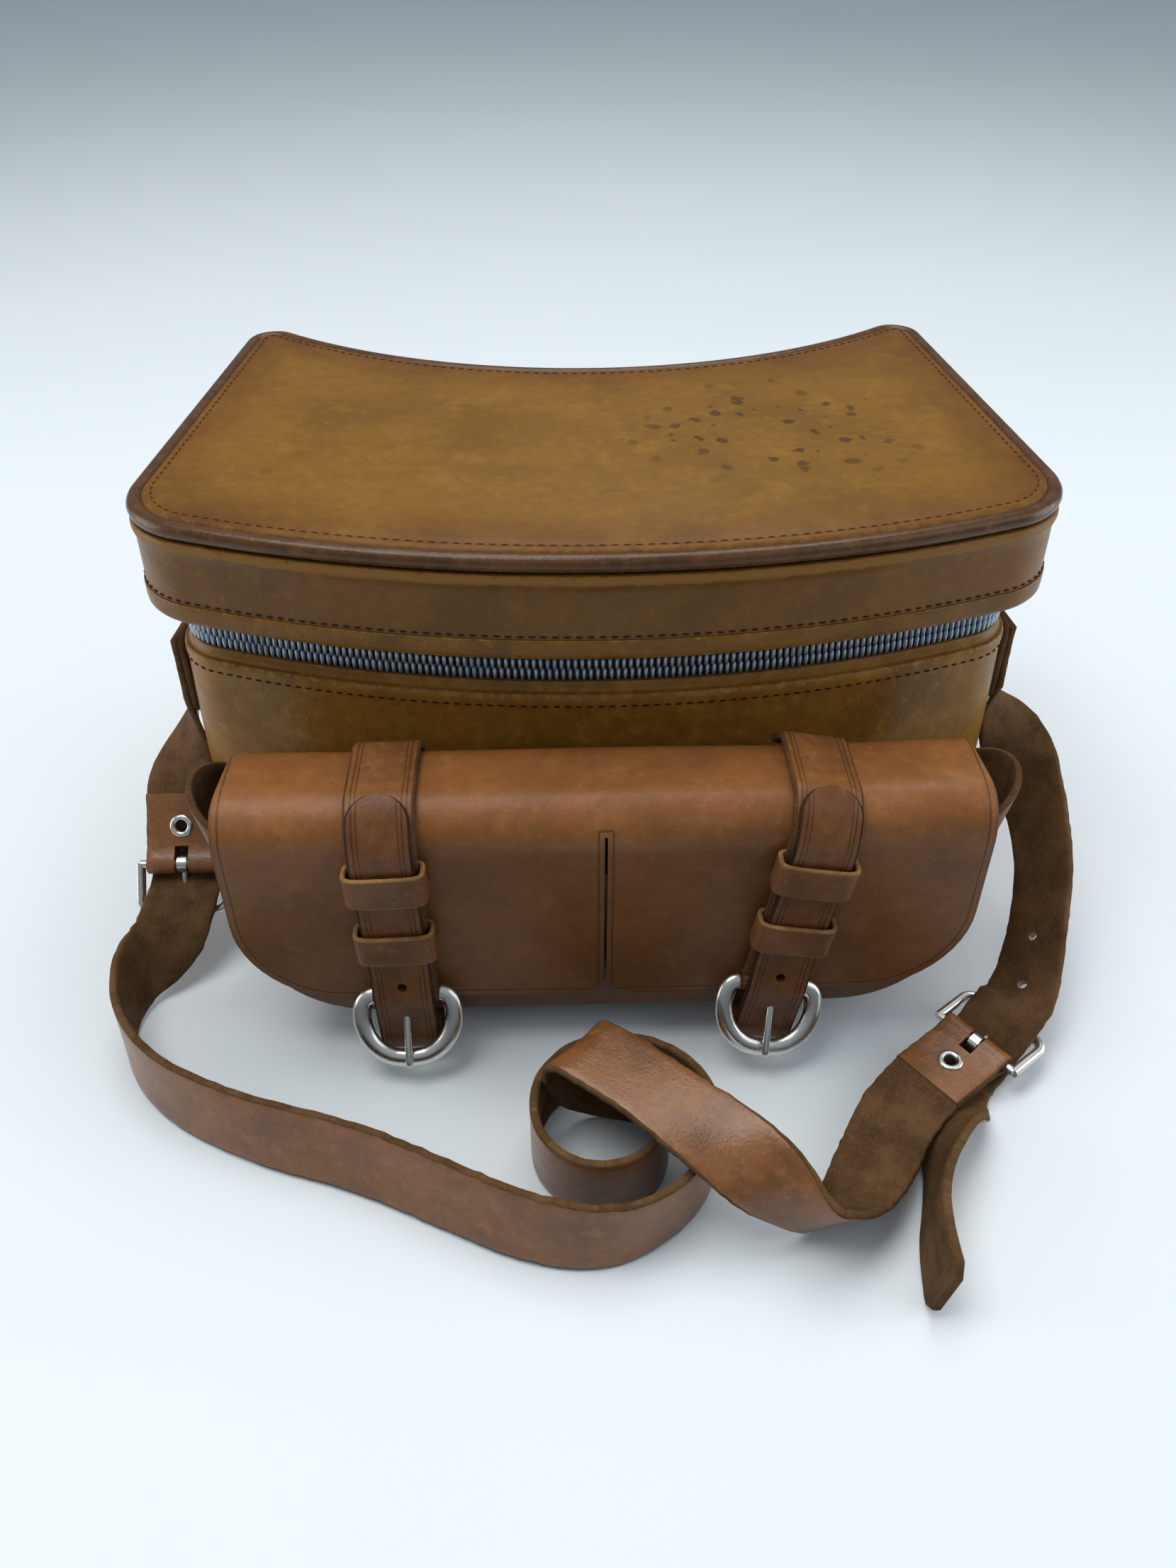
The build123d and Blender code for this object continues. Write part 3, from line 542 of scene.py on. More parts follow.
def block(centre, a, b, c):
    """A box cutter with these half edges."""
    corners = [centre + a * i + b * j + c * k for i in (-1, 1) for j in (-1, 1) for k in (-1, 1)]
    faces = [(0, 1, 3, 2), (4, 6, 7, 5), (0, 4, 5, 1), (2, 3, 7, 6), (0, 2, 6, 4), (1, 5, 7, 3)]
    return face_outwards(mesh_object("slot", corners, faces))


# Repeated bars: zip teeth and stitches


@functools.cache
def bars_group():
    """Geometry nodes that set rounded bars along lines, turned to face the way stored in the points."""
    inputs = [("Lines", "g"), ("Spacing", "f"), ("Size", "v"), ("Material", "m")]
    s, given, out = new_group("bars_along_lines", inputs, [("Bars", "g")], "GeometryNodeTree")
    lines, spacing, size, material = (given.outputs[key] for key, _ in inputs)

    def geo(kind, values, **settings):
        return s.add("GeometryNode" + kind, values, **settings).outputs[0]

    curve = geo("MeshToCurve", {"Mesh": lines})
    spots = geo("ResampleCurve", {"Curve": curve, "Length": spacing}, mode="LENGTH")
    bar = geo("MeshCube", {"Size": size, "Vertices Y": 3})
    bar = geo("SubdivisionSurface", {"Mesh": bar, "Level": 1})
    facing = s.add("GeometryNodeInputNamedAttribute", {"Name": "facing"}, data_type="FLOAT_VECTOR")
    turn = s.add("FunctionNodeAlignRotationToVector", {"Vector": geo("InputTangent", {})}, axis="X")
    values = {"Rotation": turn.outputs["Rotation"], "Vector": facing.outputs["Attribute"]}
    turn = s.add("FunctionNodeAlignRotationToVector", values, axis="Z", pivot_axis="X")
    bars = geo("InstanceOnPoints", {"Points": spots, "Instance": bar, "Rotation": turn.outputs["Rotation"]})
    bars = geo("SetShadeSmooth", {"Geometry": geo("RealizeInstances", {"Geometry": bars})})
    s.put(out.inputs["Bars"], geo("SetMaterial", {"Geometry": bars, "Material": material}))
    return s.tree


def lay_bars(name, line, spacing, size, material):
    """One mesh of bars along a line of (place, facing) pairs."""
    obj = mesh_object(name, [spot for spot, _ in line], [], edges=[(i, i + 1) for i in range(len(line) - 1)])
    facing = obj.data.attributes.new("facing", "FLOAT_VECTOR", "POINT")
    facing.data.foreach_set("vector", [value for _, out in line for value in out])
    modifier = obj.modifiers.new("bars", "NODES")
    modifier.node_group = bars_group()
    values = {"Spacing": spacing, "Size": tuple(size), "Material": MATERIALS[material]}
    for item in modifier.node_group.interface.items_tree:
        if item.in_out == "INPUT" and item.name in values:
            modifier[item.identifier] = values[item.name]
    obj.data.update()
    obj.update_tag()
    return settle_mesh(obj)


# Materials


class Shade:
    """Short way to write a node tree."""

    def __init__(self, tree):
        self.tree = tree

    def add(self, kind, values=None, **settings):
        """A node with settings; values are constants or sockets for its inputs."""
        item = self.tree.nodes.new(kind)
        for key, value in settings.items():
            setattr(item, key, value)
        for key, value in (values or {}).items():
            self.put(item.inputs[key], value)
        return item

    def put(self, socket, value):
        """Links a socket or sets a constant."""
        if isinstance(value, bpy.types.NodeSocket):
            self.tree.links.new(value, socket)
        else:
            socket.default_value = value

    def use(self, group, values):
        """A shader group with its values; returns its outputs."""
        return self.add("ShaderNodeGroup", values, node_tree=group).outputs

    def math(self, operation, a, b=0.0):
        return self.add("ShaderNodeMath", {0: a, 1: b}, operation=operation).outputs[0]

    def times(self, a, b):
        return self.math("MULTIPLY", a, b)

    def plus(self, a, b):
        return self.math("ADD", a, b)

    def minus(self, a, b):
        return self.math("SUBTRACT", a, b)

    def vec(self, operation, a, b=(0.0, 0.0, 0.0), output=0):
        return self.add("ShaderNodeVectorMath", {0: a, 1: b}, operation=operation).outputs[output]

    def stretch(self, vector, scale):
        """Vector scaled differently along each axis."""
        return self.vec("MULTIPLY", vector, scale)

    def step(self, value, low, high, to_low=0.0, to_high=1.0):
        """Smooth step of a value from low to high."""
        values = {"Value": value, "From Min": low, "From Max": high, "To Min": to_low, "To Max": to_high}
        return self.add("ShaderNodeMapRange", values, interpolation_type="SMOOTHSTEP").outputs["Result"]

    def noise(self, vector, scale, detail=4.0, rough=0.55):
        values = {"Vector": vector, "Scale": scale, "Detail": detail, "Roughness": rough}
        return self.add("ShaderNodeTexNoise", values).outputs["Fac"]

    def mix(self, share, a, b, blend="MIX"):
        values = {0: share, 6: a, 7: b}
        return self.add("ShaderNodeMix", values, data_type="RGBA", blend_type=blend).outputs[2]

    def layer(self, tint, over, mask, share):
        """Colour laid over another through a share of a mask."""
        return self.mix(self.times(mask, share), tint, over)


def colour(value, share=1.0):
    """Four-part colour, darkened or lightened by share."""
    return (value[0] * share, value[1] * share, value[2] * share, 1.0)


def scaled(tone, *shares):
    """Colour with each part scaled."""
    return tuple(part * share for part, share in zip(tone, shares))


def new_group(name, inputs, outputs, kind="ShaderNodeTree"):
    """Node group with its named sockets; returns its Shade, its input node and its output node."""
    group = bpy.data.node_groups.new(name, kind)
    kinds = {"v": "Vector", "c": "Color", "f": "Float", "g": "Geometry", "m": "Material"}
    for way, sockets in (("INPUT", inputs), ("OUTPUT", outputs)):
        for key, letter in sockets:
            group.interface.new_socket(key, in_out=way, socket_type="NodeSocket" + kinds[letter])
    shade = Shade(group)
    return shade, shade.add("NodeGroupInput"), shade.add("NodeGroupOutput")


@functools.cache
def hide_group():
    """Aged leather: patches, handling streaks, stains and pores as colour, roughness and height."""
    inputs = [("Vector", "v"), ("Tone", "c"), ("Dark", "c"), ("Light", "c"), ("Patch", "f"), ("Streaks", "f")]
    inputs += [("Stains", "f"), ("Roughness", "f")]
    s, given, out = new_group("aged_hide", inputs, [("Color", "c"), ("Roughness", "f"), ("Height", "f")])
    vector, tone, dark, light, patch, streaks, stains, rough = (given.outputs[key] for key, _ in inputs)
    broad = s.noise(vector, patch, 6.0, 0.62)
    fine = s.noise(vector, s.times(patch, 3.3), 5.0, 0.6)
    tint = s.mix(s.step(broad, 0.34, 0.60), dark, tone)
    tint = s.layer(tint, light, s.step(fine, 0.52, 0.74), 0.65)
    hair = s.noise(s.stretch(vector, (14.0, 150.0, 150.0)), 1.6, 3.0, 0.7)
    streak = s.times(s.step(hair, 0.60, 0.74), streaks)
    tint = s.layer(tint, light, streak, 0.45)
    scratch = s.noise(s.stretch(vector, (70.0, 1300.0, 1300.0)), 1.0, 2.0, 0.6)
    tint = s.layer(tint, light, s.times(s.step(scratch, 0.62, 0.72), streaks), 0.5)
    speck = s.noise(vector, 900.0, 4.0, 0.7)
    tint = s.layer(tint, dark, s.step(speck, 0.48, 0.68), 0.45)
    mottle = s.noise(vector, 240.0, 5.0, 0.7)
    tint = s.layer(tint, dark, s.step(mottle, 0.50, 0.66), 0.5)
    tint = s.layer(tint, light, s.step(mottle, 0.46, 0.34), 0.4)
    rub = s.noise(s.stretch(vector, (30.0, 75.0, 55.0)), 1.0, 4.0, 0.65)
    tint = s.layer(tint, dark, s.step(rub, 0.57, 0.72), 0.38)
    stir = s.add("ShaderNodeTexNoise", {"Vector": vector, "Scale": 190.0, "Detail": 3.0}).outputs["Color"]
    values = {0: stir, 1: (0.006, 0.006, 0.006), 2: vector}
    uneven = s.add("ShaderNodeVectorMath", values, operation="MULTIPLY_ADD").outputs[0]
    cells = s.add("ShaderNodeTexVoronoi", {"Vector": uneven, "Scale": 125.0}, voronoi_dimensions="2D")
    pick = s.add("ShaderNodeSeparateColor", {"Color": cells.outputs["Color"]})
    size = s.step(pick.outputs[0], 0.30, 1.0, 0.0, 0.34)
    spot = s.times(s.step(s.minus(size, cells.outputs["Distance"]), 0.0, 0.10), stains)
    tint = s.mix(spot, tint, s.mix(0.55, dark, (0.012, 0.006, 0.004, 1.0)))
    pores = s.add("ShaderNodeTexVoronoi", {"Vector": vector, "Scale": 820.0, "Randomness": 1.0})
    pebble = s.step(pores.outputs["Distance"], 0.05, 0.62)
    shine = s.plus(rough, s.times(s.minus(fine, 0.5), 0.34))
    shine = s.plus(shine, s.times(spot, 0.12))
    height = s.plus(s.times(pebble, -0.22), s.times(broad, 0.9))
    height = s.plus(height, s.times(s.noise(vector, 420.0, 3.0), 0.30))
    height = s.plus(height, s.times(streak, 0.12))
    for key, value in (("Color", tint), ("Roughness", shine), ("Height", height)):
        s.put(out.inputs[key], value)
    return s.tree


@functools.cache
def edge_group():
    """Distance from the edge of a piece with rounded corners, and a line pressed beside that edge."""
    inputs = [("Vector", "v"), ("Centre", "v"), ("Half Size", "v"), ("Corner", "f"), ("Offset", "f")]
    inputs += [("Width", "f")]
    s, given, out = new_group("edge_lines", inputs, [("Distance", "f"), ("Line", "f")])
    vector, centre, half, corner, offset, width = (given.outputs[key] for key, _ in inputs)
    round_off = s.add("ShaderNodeCombineXYZ", {0: corner, 1: corner, 2: 0.0}).outputs[0]
    reach = s.vec("ABSOLUTE", s.vec("SUBTRACT", vector, centre))
    over = s.vec("SUBTRACT", reach, s.vec("SUBTRACT", half, round_off))
    past = s.vec("LENGTH", s.vec("MAXIMUM", over), output="Value")
    parts = s.add("ShaderNodeSeparateXYZ", {0: over})
    inner = s.math("MINIMUM", s.math("MAXIMUM", parts.outputs[0], parts.outputs[1]), 0.0)
    distance = s.minus(corner, s.plus(past, inner))
    off = s.math("ABSOLUTE", s.minus(distance, offset))
    s.put(out.inputs["Distance"], distance)
    s.put(out.inputs["Line"], s.step(s.math("DIVIDE", off, width), 0.35, 1.0, 1.0, 0.0))
    return s.tree


@functools.cache
def outline_group():
    """Distance inwards from the lid's outline, from the same arcs and lines as the case's plan."""
    c = bpy.context.scene.bag_case
    s, given, out = new_group("lid_outline", [("Vector", "v")], [("Distance", "f")])
    front, back = bow_radius(c.front_half, c.front_bow), bow_radius(c.back_half, c.back_bow)
    flat = s.stretch(given.outputs["Vector"], (1.0, 1.0, 0.0))

    def reach(y):
        return s.vec("DISTANCE", flat, (0.0, y, 0.0), "Value")

    near = s.minus(front, reach(front - c.depth / 2))
    far = s.minus(reach(back + c.depth / 2), back)
    parts = s.add("ShaderNodeSeparateXYZ", {0: flat})
    lean = (c.front_half - c.back_half) / (c.depth + c.back_bow - c.front_bow)
    level = s.minus(parts.outputs[1], c.front_bow - c.depth / 2)
    edge = s.minus(c.front_half, s.times(level, lean))
    beside = s.minus(edge, s.math("ABSOLUTE", parts.outputs[0]))
    s.put(out.inputs["Distance"], s.math("MINIMUM", s.math("MINIMUM", near, far), beside))
    return s.tree


@functools.cache
def ragged_group():
    """Turns a value of wear and painted highlight into a ragged mask."""
    inputs = [("Vector", "v"), ("Wear And Highlight", "f"), ("Scale", "f")]
    s, given, out = new_group("ragged_wear_and_highlight", inputs, [("Mask", "f")])
    vector, worn_and_lit, scale = (given.outputs[key] for key, _ in inputs)
    torn = s.noise(vector, scale, 6.0, 0.7)
    value = s.plus(worn_and_lit, s.times(s.minus(torn, 0.5), 1.3))
    s.put(out.inputs["Mask"], s.step(value, 0.48, 0.72))
    return s.tree


def start_material(name, coords="Object"):
    """Material with an empty tree, its Shade, its Principled node and its coordinates."""
    material = bpy.data.materials.new(name)
    material.use_nodes = True
    material.node_tree.nodes.clear()
    s = Shade(material.node_tree)
    surface = s.add("ShaderNodeBsdfPrincipled")
    s.add("ShaderNodeOutputMaterial", {"Surface": surface.outputs[0]})
    return material, s, surface, s.add("ShaderNodeTexCoord").outputs[coords]


def finish_material(s, surface, tint, rough, height=None, strength=0.3, reach=0.0006, **constants):
    """Links colour, roughness and bump into the surface and sets its constants."""
    s.put(surface.inputs["Base Color"], tint)
    s.put(surface.inputs["Roughness"], rough)
    if height is not None:
        bump = s.add("ShaderNodeBump", {"Strength": strength, "Distance": reach, "Height": height})
        s.put(surface.inputs["Normal"], bump.outputs[0])
    sockets = {"coat": "Coat Weight", "coat_rough": "Coat Roughness", "gloss": "Specular IOR Level"}
    sockets["metal"] = "Metallic"
    for key, value in constants.items():
        surface.inputs[sockets[key]].default_value = value


def leather(name, tone, patch=26.0, rough=0.40, stains=None, streaks=0.5, uv=False, wear_and_highlight=None, line=(),
            coat=0.08, gloss=0.2, strength=0.3, dark=0.62, light=1.35, lid=False, painted_crest_highlight=None):
    """Grain leather.

    stains gives the middle and the reach of a spotted place. The wear colour goes where the mesh marks wear,
    and on the lid's band it is a painted highlight along the upper ridge. crest gives where along V the
    flap's top bend is lightened as a painted highlight. Each line gives centre, half size, corner, offset and
    width in UV metres, and how dim its edge is.
    """
    material, s, surface, vector = start_material(name, "UV" if uv else "Object")
    if stains:
        away = s.stretch(s.vec("SUBTRACT", vector, stains[0]), tuple(1.0 / v for v in stains[1]))
        away = s.plus(s.vec("LENGTH", away, output="Value"), s.times(s.noise(vector, 30.0, 2.0), 0.7))
        stains = s.step(away, 0.75, 1.45, 1.0, 0.0)
    values = {"Vector": vector, "Tone": colour(tone), "Dark": colour(tone, dark), "Patch": patch}
    values["Light"] = colour(scaled(tone, 1.0, 1.08, 1.25), light)
    values.update({"Streaks": streaks, "Stains": stains or 0.0, "Roughness": rough})
    tint, shine, height = s.use(hide_group(), values)
    if lid:
        inwards = s.use(outline_group(), {"Vector": vector})["Distance"]
        rim = s.step(inwards, 0.004, 0.034, 1.0, 0.0)
        rim = s.times(rim, s.step(s.noise(vector, 34.0, 5.0, 0.65), 0.30, 0.70, 0.25, 1.0))
        tint = s.mix(rim, tint, colour(scaled(tone, 0.56, 0.40, 0.50)))
    # Painted highlight: the flap's top bend is made lighter between the two V heights, where the light falls
    # on it.
    if painted_crest_highlight:
        parts = s.add("ShaderNodeSeparateXYZ", {0: vector})
        up = s.step(parts.outputs[1], painted_crest_highlight[0], painted_crest_highlight[1], 0.0, 0.8)
        tint = s.mix(up, tint, s.mix(1.0, tint, (1.55, 1.52, 1.45, 1.0), "MULTIPLY"))
    # Lighter colour where the mesh's value is high: wear on most parts, a painted highlight on the lid band's
    # ridge.
    if wear_and_highlight:
        worn_and_lit = s.add("ShaderNodeAttribute", attribute_name="wear_and_highlight").outputs["Fac"]
        mask = s.use(ragged_group(), {"Vector": vector, "Wear And Highlight": worn_and_lit, "Scale": 260.0})["Mask"]
        tint = s.mix(mask, tint, colour(wear_and_highlight))
        shine = s.plus(shine, s.times(mask, 0.12))
    for centre, half, corner, offset, width, dim in line:
        facts = {"Vector": vector, "Centre": centre, "Half Size": half, "Corner": corner}
        distance, mark = s.use(edge_group(), {**facts, "Offset": offset, "Width": width})
        tint = s.layer(tint, colour(tone, 0.22), mark, 0.62)
        height = s.minus(height, s.times(mark, 0.9))
        tint = s.layer(tint, colour(tone, 0.35), s.step(distance, 0.0, 0.0014, 1.0, 0.0), dim)
    finish_material(s, surface, tint, shine, height, strength, coat=coat, coat_rough=0.22, gloss=gloss)
    return material


def flesh(name, tone, uv=False):
    """Rough flesh side and cut edges: loose fibres, dull."""
    material, s, surface, vector = start_material(name, "UV" if uv else "Object")
    broad = s.noise(vector, 70.0, 6.0, 0.7)
    fibre = s.noise(s.stretch(vector, (500.0, 1300.0, 1300.0)), 1.0, 4.0, 0.75)
    tint = s.mix(s.step(broad, 0.3, 0.7), colour(tone, 0.55), colour(tone, 1.25))
    tint = s.layer(tint, colour(tone, 2.2), s.step(fibre, 0.5, 0.75), 0.5)
    height = s.plus(fibre, s.times(broad, 0.6))
    finish_material(s, surface, tint, s.step(broad, 0.2, 0.8, 0.95, 0.72), height, 0.7, 0.0005, gloss=0.15)
    return material


def cloth(name, tone, weave):
    """Woven lining, zip tape or thread."""
    material, s, surface, vector = start_material(name)
    waves = []
    for axis in ("DIAGONAL", "Z"):
        values = {"Vector": vector, "Scale": weave, "Distortion": 0.6, "Detail": 1.0}
        wave = s.add("ShaderNodeTexWave", values, wave_type="BANDS", bands_direction=axis)
        waves.append(wave.outputs["Fac"])
    mesh = s.times(*waves)
    broad = s.noise(vector, 45.0, 5.0)
    tint = s.mix(mesh, colour(tone, 0.62), colour(tone, 1.2))
    tint = s.layer(tint, colour(tone, 0.5), s.step(broad, 0.45, 0.75), 0.4)
    finish_material(s, surface, tint, s.step(broad, 0.2, 0.8, 0.9, 0.75), mesh, 0.5, 0.0004, gloss=0.15)
    return material


def metal(name, tone, rough, tarnish):
    """Plated metal with fine scratches and dull patches."""
    material, s, surface, vector = start_material(name)
    dull = s.step(s.noise(vector, 70.0, 4.0, 0.6), 0.5, 0.75)
    scratch = s.noise(s.stretch(vector, (1600.0, 200.0, 500.0)), 1.0, 2.0, 0.6)
    tint = s.layer(colour(tone), colour(tone, 0.38), dull, tarnish)
    shine = s.plus(s.times(dull, 0.22), s.step(scratch, 0.5, 0.8, rough, rough + 0.10))
    finish_material(s, surface, tint, shine, metal=1.0)
    return material


def board(name, tone):
    """Stiffening board."""
    material, s, surface, vector = start_material(name)
    fleck = s.noise(vector, 900.0, 4.0, 0.7)
    broad = s.noise(vector, 40.0, 4.0)
    tint = s.mix(s.step(fleck, 0.35, 0.7), colour(tone, 0.7), colour(tone, 1.15))
    tint = s.layer(tint, colour(tone, 0.6), broad, 0.3)
    finish_material(s, surface, tint, s.step(broad, 0.2, 0.8, 0.9, 0.8), fleck, 0.3, 0.0003)
    return material


FLAP_STRAP_WIDTH = 0.022
BILLET_WIDTH = 0.020


def strap_lines(width):
    """Two lines pressed along both edges of a strap, for a material in UV metres."""
    middle, half = (0.2, 0.0, 0.0), (0.2, width / 2, 1.0)
    return [(middle, half, 0.0005, 0.0024, 0.00045, 0.55), (middle, half, 0.0005, 0.0038, 0.00035, 0.0)]


def make_materials():
    """All the materials, by name."""
    c, p = bpy.context.scene.bag_colours, bpy.context.scene.bag_pouch
    case, pouch, strap, rough = (tuple(v) for v in (c.case_tone, c.pouch_tone, c.strap_tone, c.flesh_tone))
    worn_and_lit = (0.30, 0.155, 0.042)
    flap_lines = [((0.0, 0.5, 0.0), (p.flap_half, 0.5, 1.0), p.flap_corner, 0.0026, 0.0005, 0.55)]
    flap_lines += [((0.0, 0.0255, 0.0), (0.0029, 0.0453, 1.0), 0.0010, 0.0006, 0.0005, 0.0)]
    spots = ((0.062, 0.012, 0.170), (0.062, 0.050, 0.2))
    m = MATERIALS
    m["case"] = leather("case_tan", scaled(case, 1.3, 1.28, 1.5), 24.0, wear_and_highlight=worn_and_lit)
    m["lid"] = leather("lid_tan", case, 22.0, 0.46, wear_and_highlight=(0.19, 0.080, 0.016), dark=0.74, light=1.22,
                       lid=True, coat=0.04, gloss=0.15, stains=spots)
    # The band's lighter second colour is a painted highlight along its upper ridge.
    m["band"] = leather("band_tan", scaled(case, 0.8, 0.72, 0.8), 22.0, wear_and_highlight=(0.215, 0.098, 0.017), dark=0.72)
    m["binding"] = leather("binding_tan", scaled(case, 0.9, 0.85, 1.0), 60.0, streaks=0.3, wear_and_highlight=worn_and_lit)
    m["piping"] = leather("piping_brown", tuple(c.piping_tone), 70.0, 0.28, streaks=0.4, coat=0.12,
                          gloss=0.25, wear_and_highlight=(0.150, 0.069, 0.019))
    m["base"] = leather("base_brown", scaled(case, 0.5, 0.45, 0.6), 30.0, 0.5)
    m["hinge"] = leather("hinge_tan", scaled(case, 0.8, 0.75, 1.0), 30.0, 0.42, uv=True)
    m["pouch"] = leather("pouch_brown", scaled(pouch, 0.78, 0.76, 0.8), 26.0, 0.42, streaks=0.8)
    # The flap's crest range paints a highlight along its top bend.
    m["flap"] = leather("flap_brown", pouch, 26.0, 0.42, streaks=0.7, uv=True, line=flap_lines, dark=0.74,
                        light=1.25, painted_crest_highlight=(0.058, 0.078))
    m["flap_strap"] = leather("flap_strap_brown", scaled(pouch, 1.2, 1.2, 1.2), 40.0, streaks=0.6, uv=True,
                              line=strap_lines(FLAP_STRAP_WIDTH))
    m["billet"] = leather("billet_brown", scaled(pouch, 0.85, 0.80, 0.85), 44.0, streaks=0.8, uv=True,
                          line=strap_lines(BILLET_WIDTH))
    m["keeper"] = leather("keeper_brown", scaled(pouch, 0.9, 0.9, 1.0), 60.0, 0.44)
    m["strap"] = leather("strap_brown", strap, 40.0, 0.36, streaks=0.7, uv=True, coat=0.2, gloss=0.4,
                         strength=0.42)
    m["tab"] = leather("tab_brown", scaled(case, 0.7, 0.62, 1.0), 50.0, 0.4)
    m["flesh"] = flesh("strap_flesh", rough, uv=True)
    m["cut"] = flesh("cut_edge", scaled(rough, 0.9, 0.8, 0.8))
    # Very dark cut edge: the billets' own dark edges, and on the flap a painted shadow line along its lower
    # edge.
    m["dark_cut_and_shadow"] = flesh("flap_edge_and_painted_shadow", (0.035, 0.016, 0.008))
    m["light_cut"] = flesh("keeper_edge", (0.25, 0.135, 0.05))
    m["inside"] = flesh("pouch_inside", scaled(rough, 0.8, 0.75, 0.8), uv=True)
    m["lining"] = cloth("lining_twill", (0.16, 0.10, 0.055), 420.0)
    m["tape"] = cloth("zip_tape_taupe", (0.115, 0.075, 0.045), 900.0)
    m["core"] = cloth("zip_core_blue", (0.050, 0.064, 0.082), 900.0)
    m["tan_thread"] = cloth("thread_tan", (0.085, 0.037, 0.010), 2500.0)
    m["thread"] = cloth("thread_brown", (0.035, 0.018, 0.009), 2500.0)
    m["zip"] = metal("zip_metal_blue_grey", (0.36, 0.43, 0.50), 0.42, 0.3)
    m["nickel"] = metal("nickel", (0.66, 0.66, 0.63), 0.24, 0.4)
    m["board"] = board("grey_board", (0.16, 0.13, 0.10))


# Stage


class BAG_OT_stage(bpy.types.Operator):
    """Sets up the floor, the lights and the camera"""

    bl_idname = "bag.stage"
    bl_label = "Stage"

    def execute(self, context):
        scene = context.scene
        floor = mesh_object("floor", [(-6, -6, 0), (6, -6, 0), (6, 6, 0), (-6, 6, 0)], [(0, 1, 2, 3)])
        material, s, surface, vector = start_material("pale_floor")
        pale = s.mix(s.noise(vector, 3.0, 3.0), (0.69, 0.76, 0.81, 1), (0.73, 0.80, 0.85, 1))
        finish_material(s, surface, pale, 0.55)
        floor.data.materials.append(material)
        world = bpy.data.worlds.new("studio")
        scene.world = world
        world.use_nodes = True
        w = Shade(world.node_tree)
        parts = w.add("ShaderNodeSeparateXYZ", {0: w.add("ShaderNodeTexCoord").outputs["Generated"]})
        sky = w.mix(w.step(parts.outputs[2], 0.0, 0.8), (0.30, 0.34, 0.38, 1.0), (0.86, 0.93, 1.0, 1.0))
        w.put(world.node_tree.nodes["Background"].inputs["Color"], sky)
        world.node_tree.nodes["Background"].inputs["Strength"].default_value = 0.42
        lights = (
            ("key", (-0.45, -0.12, 1.50), 0.9, 10.5, (1.0, 0.97, 0.92)),
            ("fill", (0.95, -0.45, 0.95), 0.9, 2.2, (0.93, 0.97, 1.0)),
            ("top", (0.15, 0.55, 1.45), 1.1, 10.0, (1.0, 0.98, 0.95)),
            ("left", (-1.15, 0.0, 0.32), 0.8, 5.0, (1.0, 0.98, 0.95)),
            ("right", (1.15, 0.0, 0.32), 0.8, 5.0, (1.0, 0.98, 0.95)),
        )
        for name, spot, size, power, tint in lights:
            data = bpy.data.lights.new(name, "AREA")
            data.shape = "DISK"
            data.size = size
            data.energy = power
            data.color = tint
            lamp = bpy.data.objects.new(name, data)
            lamp.location = spot
            aim = Vector((0, -0.05, 0.05)) - Vector(spot)
            lamp.rotation_euler = aim.to_track_quat("-Z", "Y").to_euler()
            scene.collection.objects.link(lamp)
        eye = bpy.data.cameras.new("camera")
        eye.lens = 28.56
        eye.sensor_width = 36.0
        eye.clip_start = 0.01
        camera = bpy.data.objects.new("camera", eye)
        camera.location = (-0.0143, -0.3939, 0.3473)
        pitch, heading = math.radians(39.35), math.radians(1.74)
        camera.rotation_euler = (math.pi / 2 - pitch, 0.0, -heading)
        scene.collection.objects.link(camera)
        scene.camera = camera
        scene.view_settings.view_transform = "Standard"
        return {"FINISHED"}


# Shoulder strap


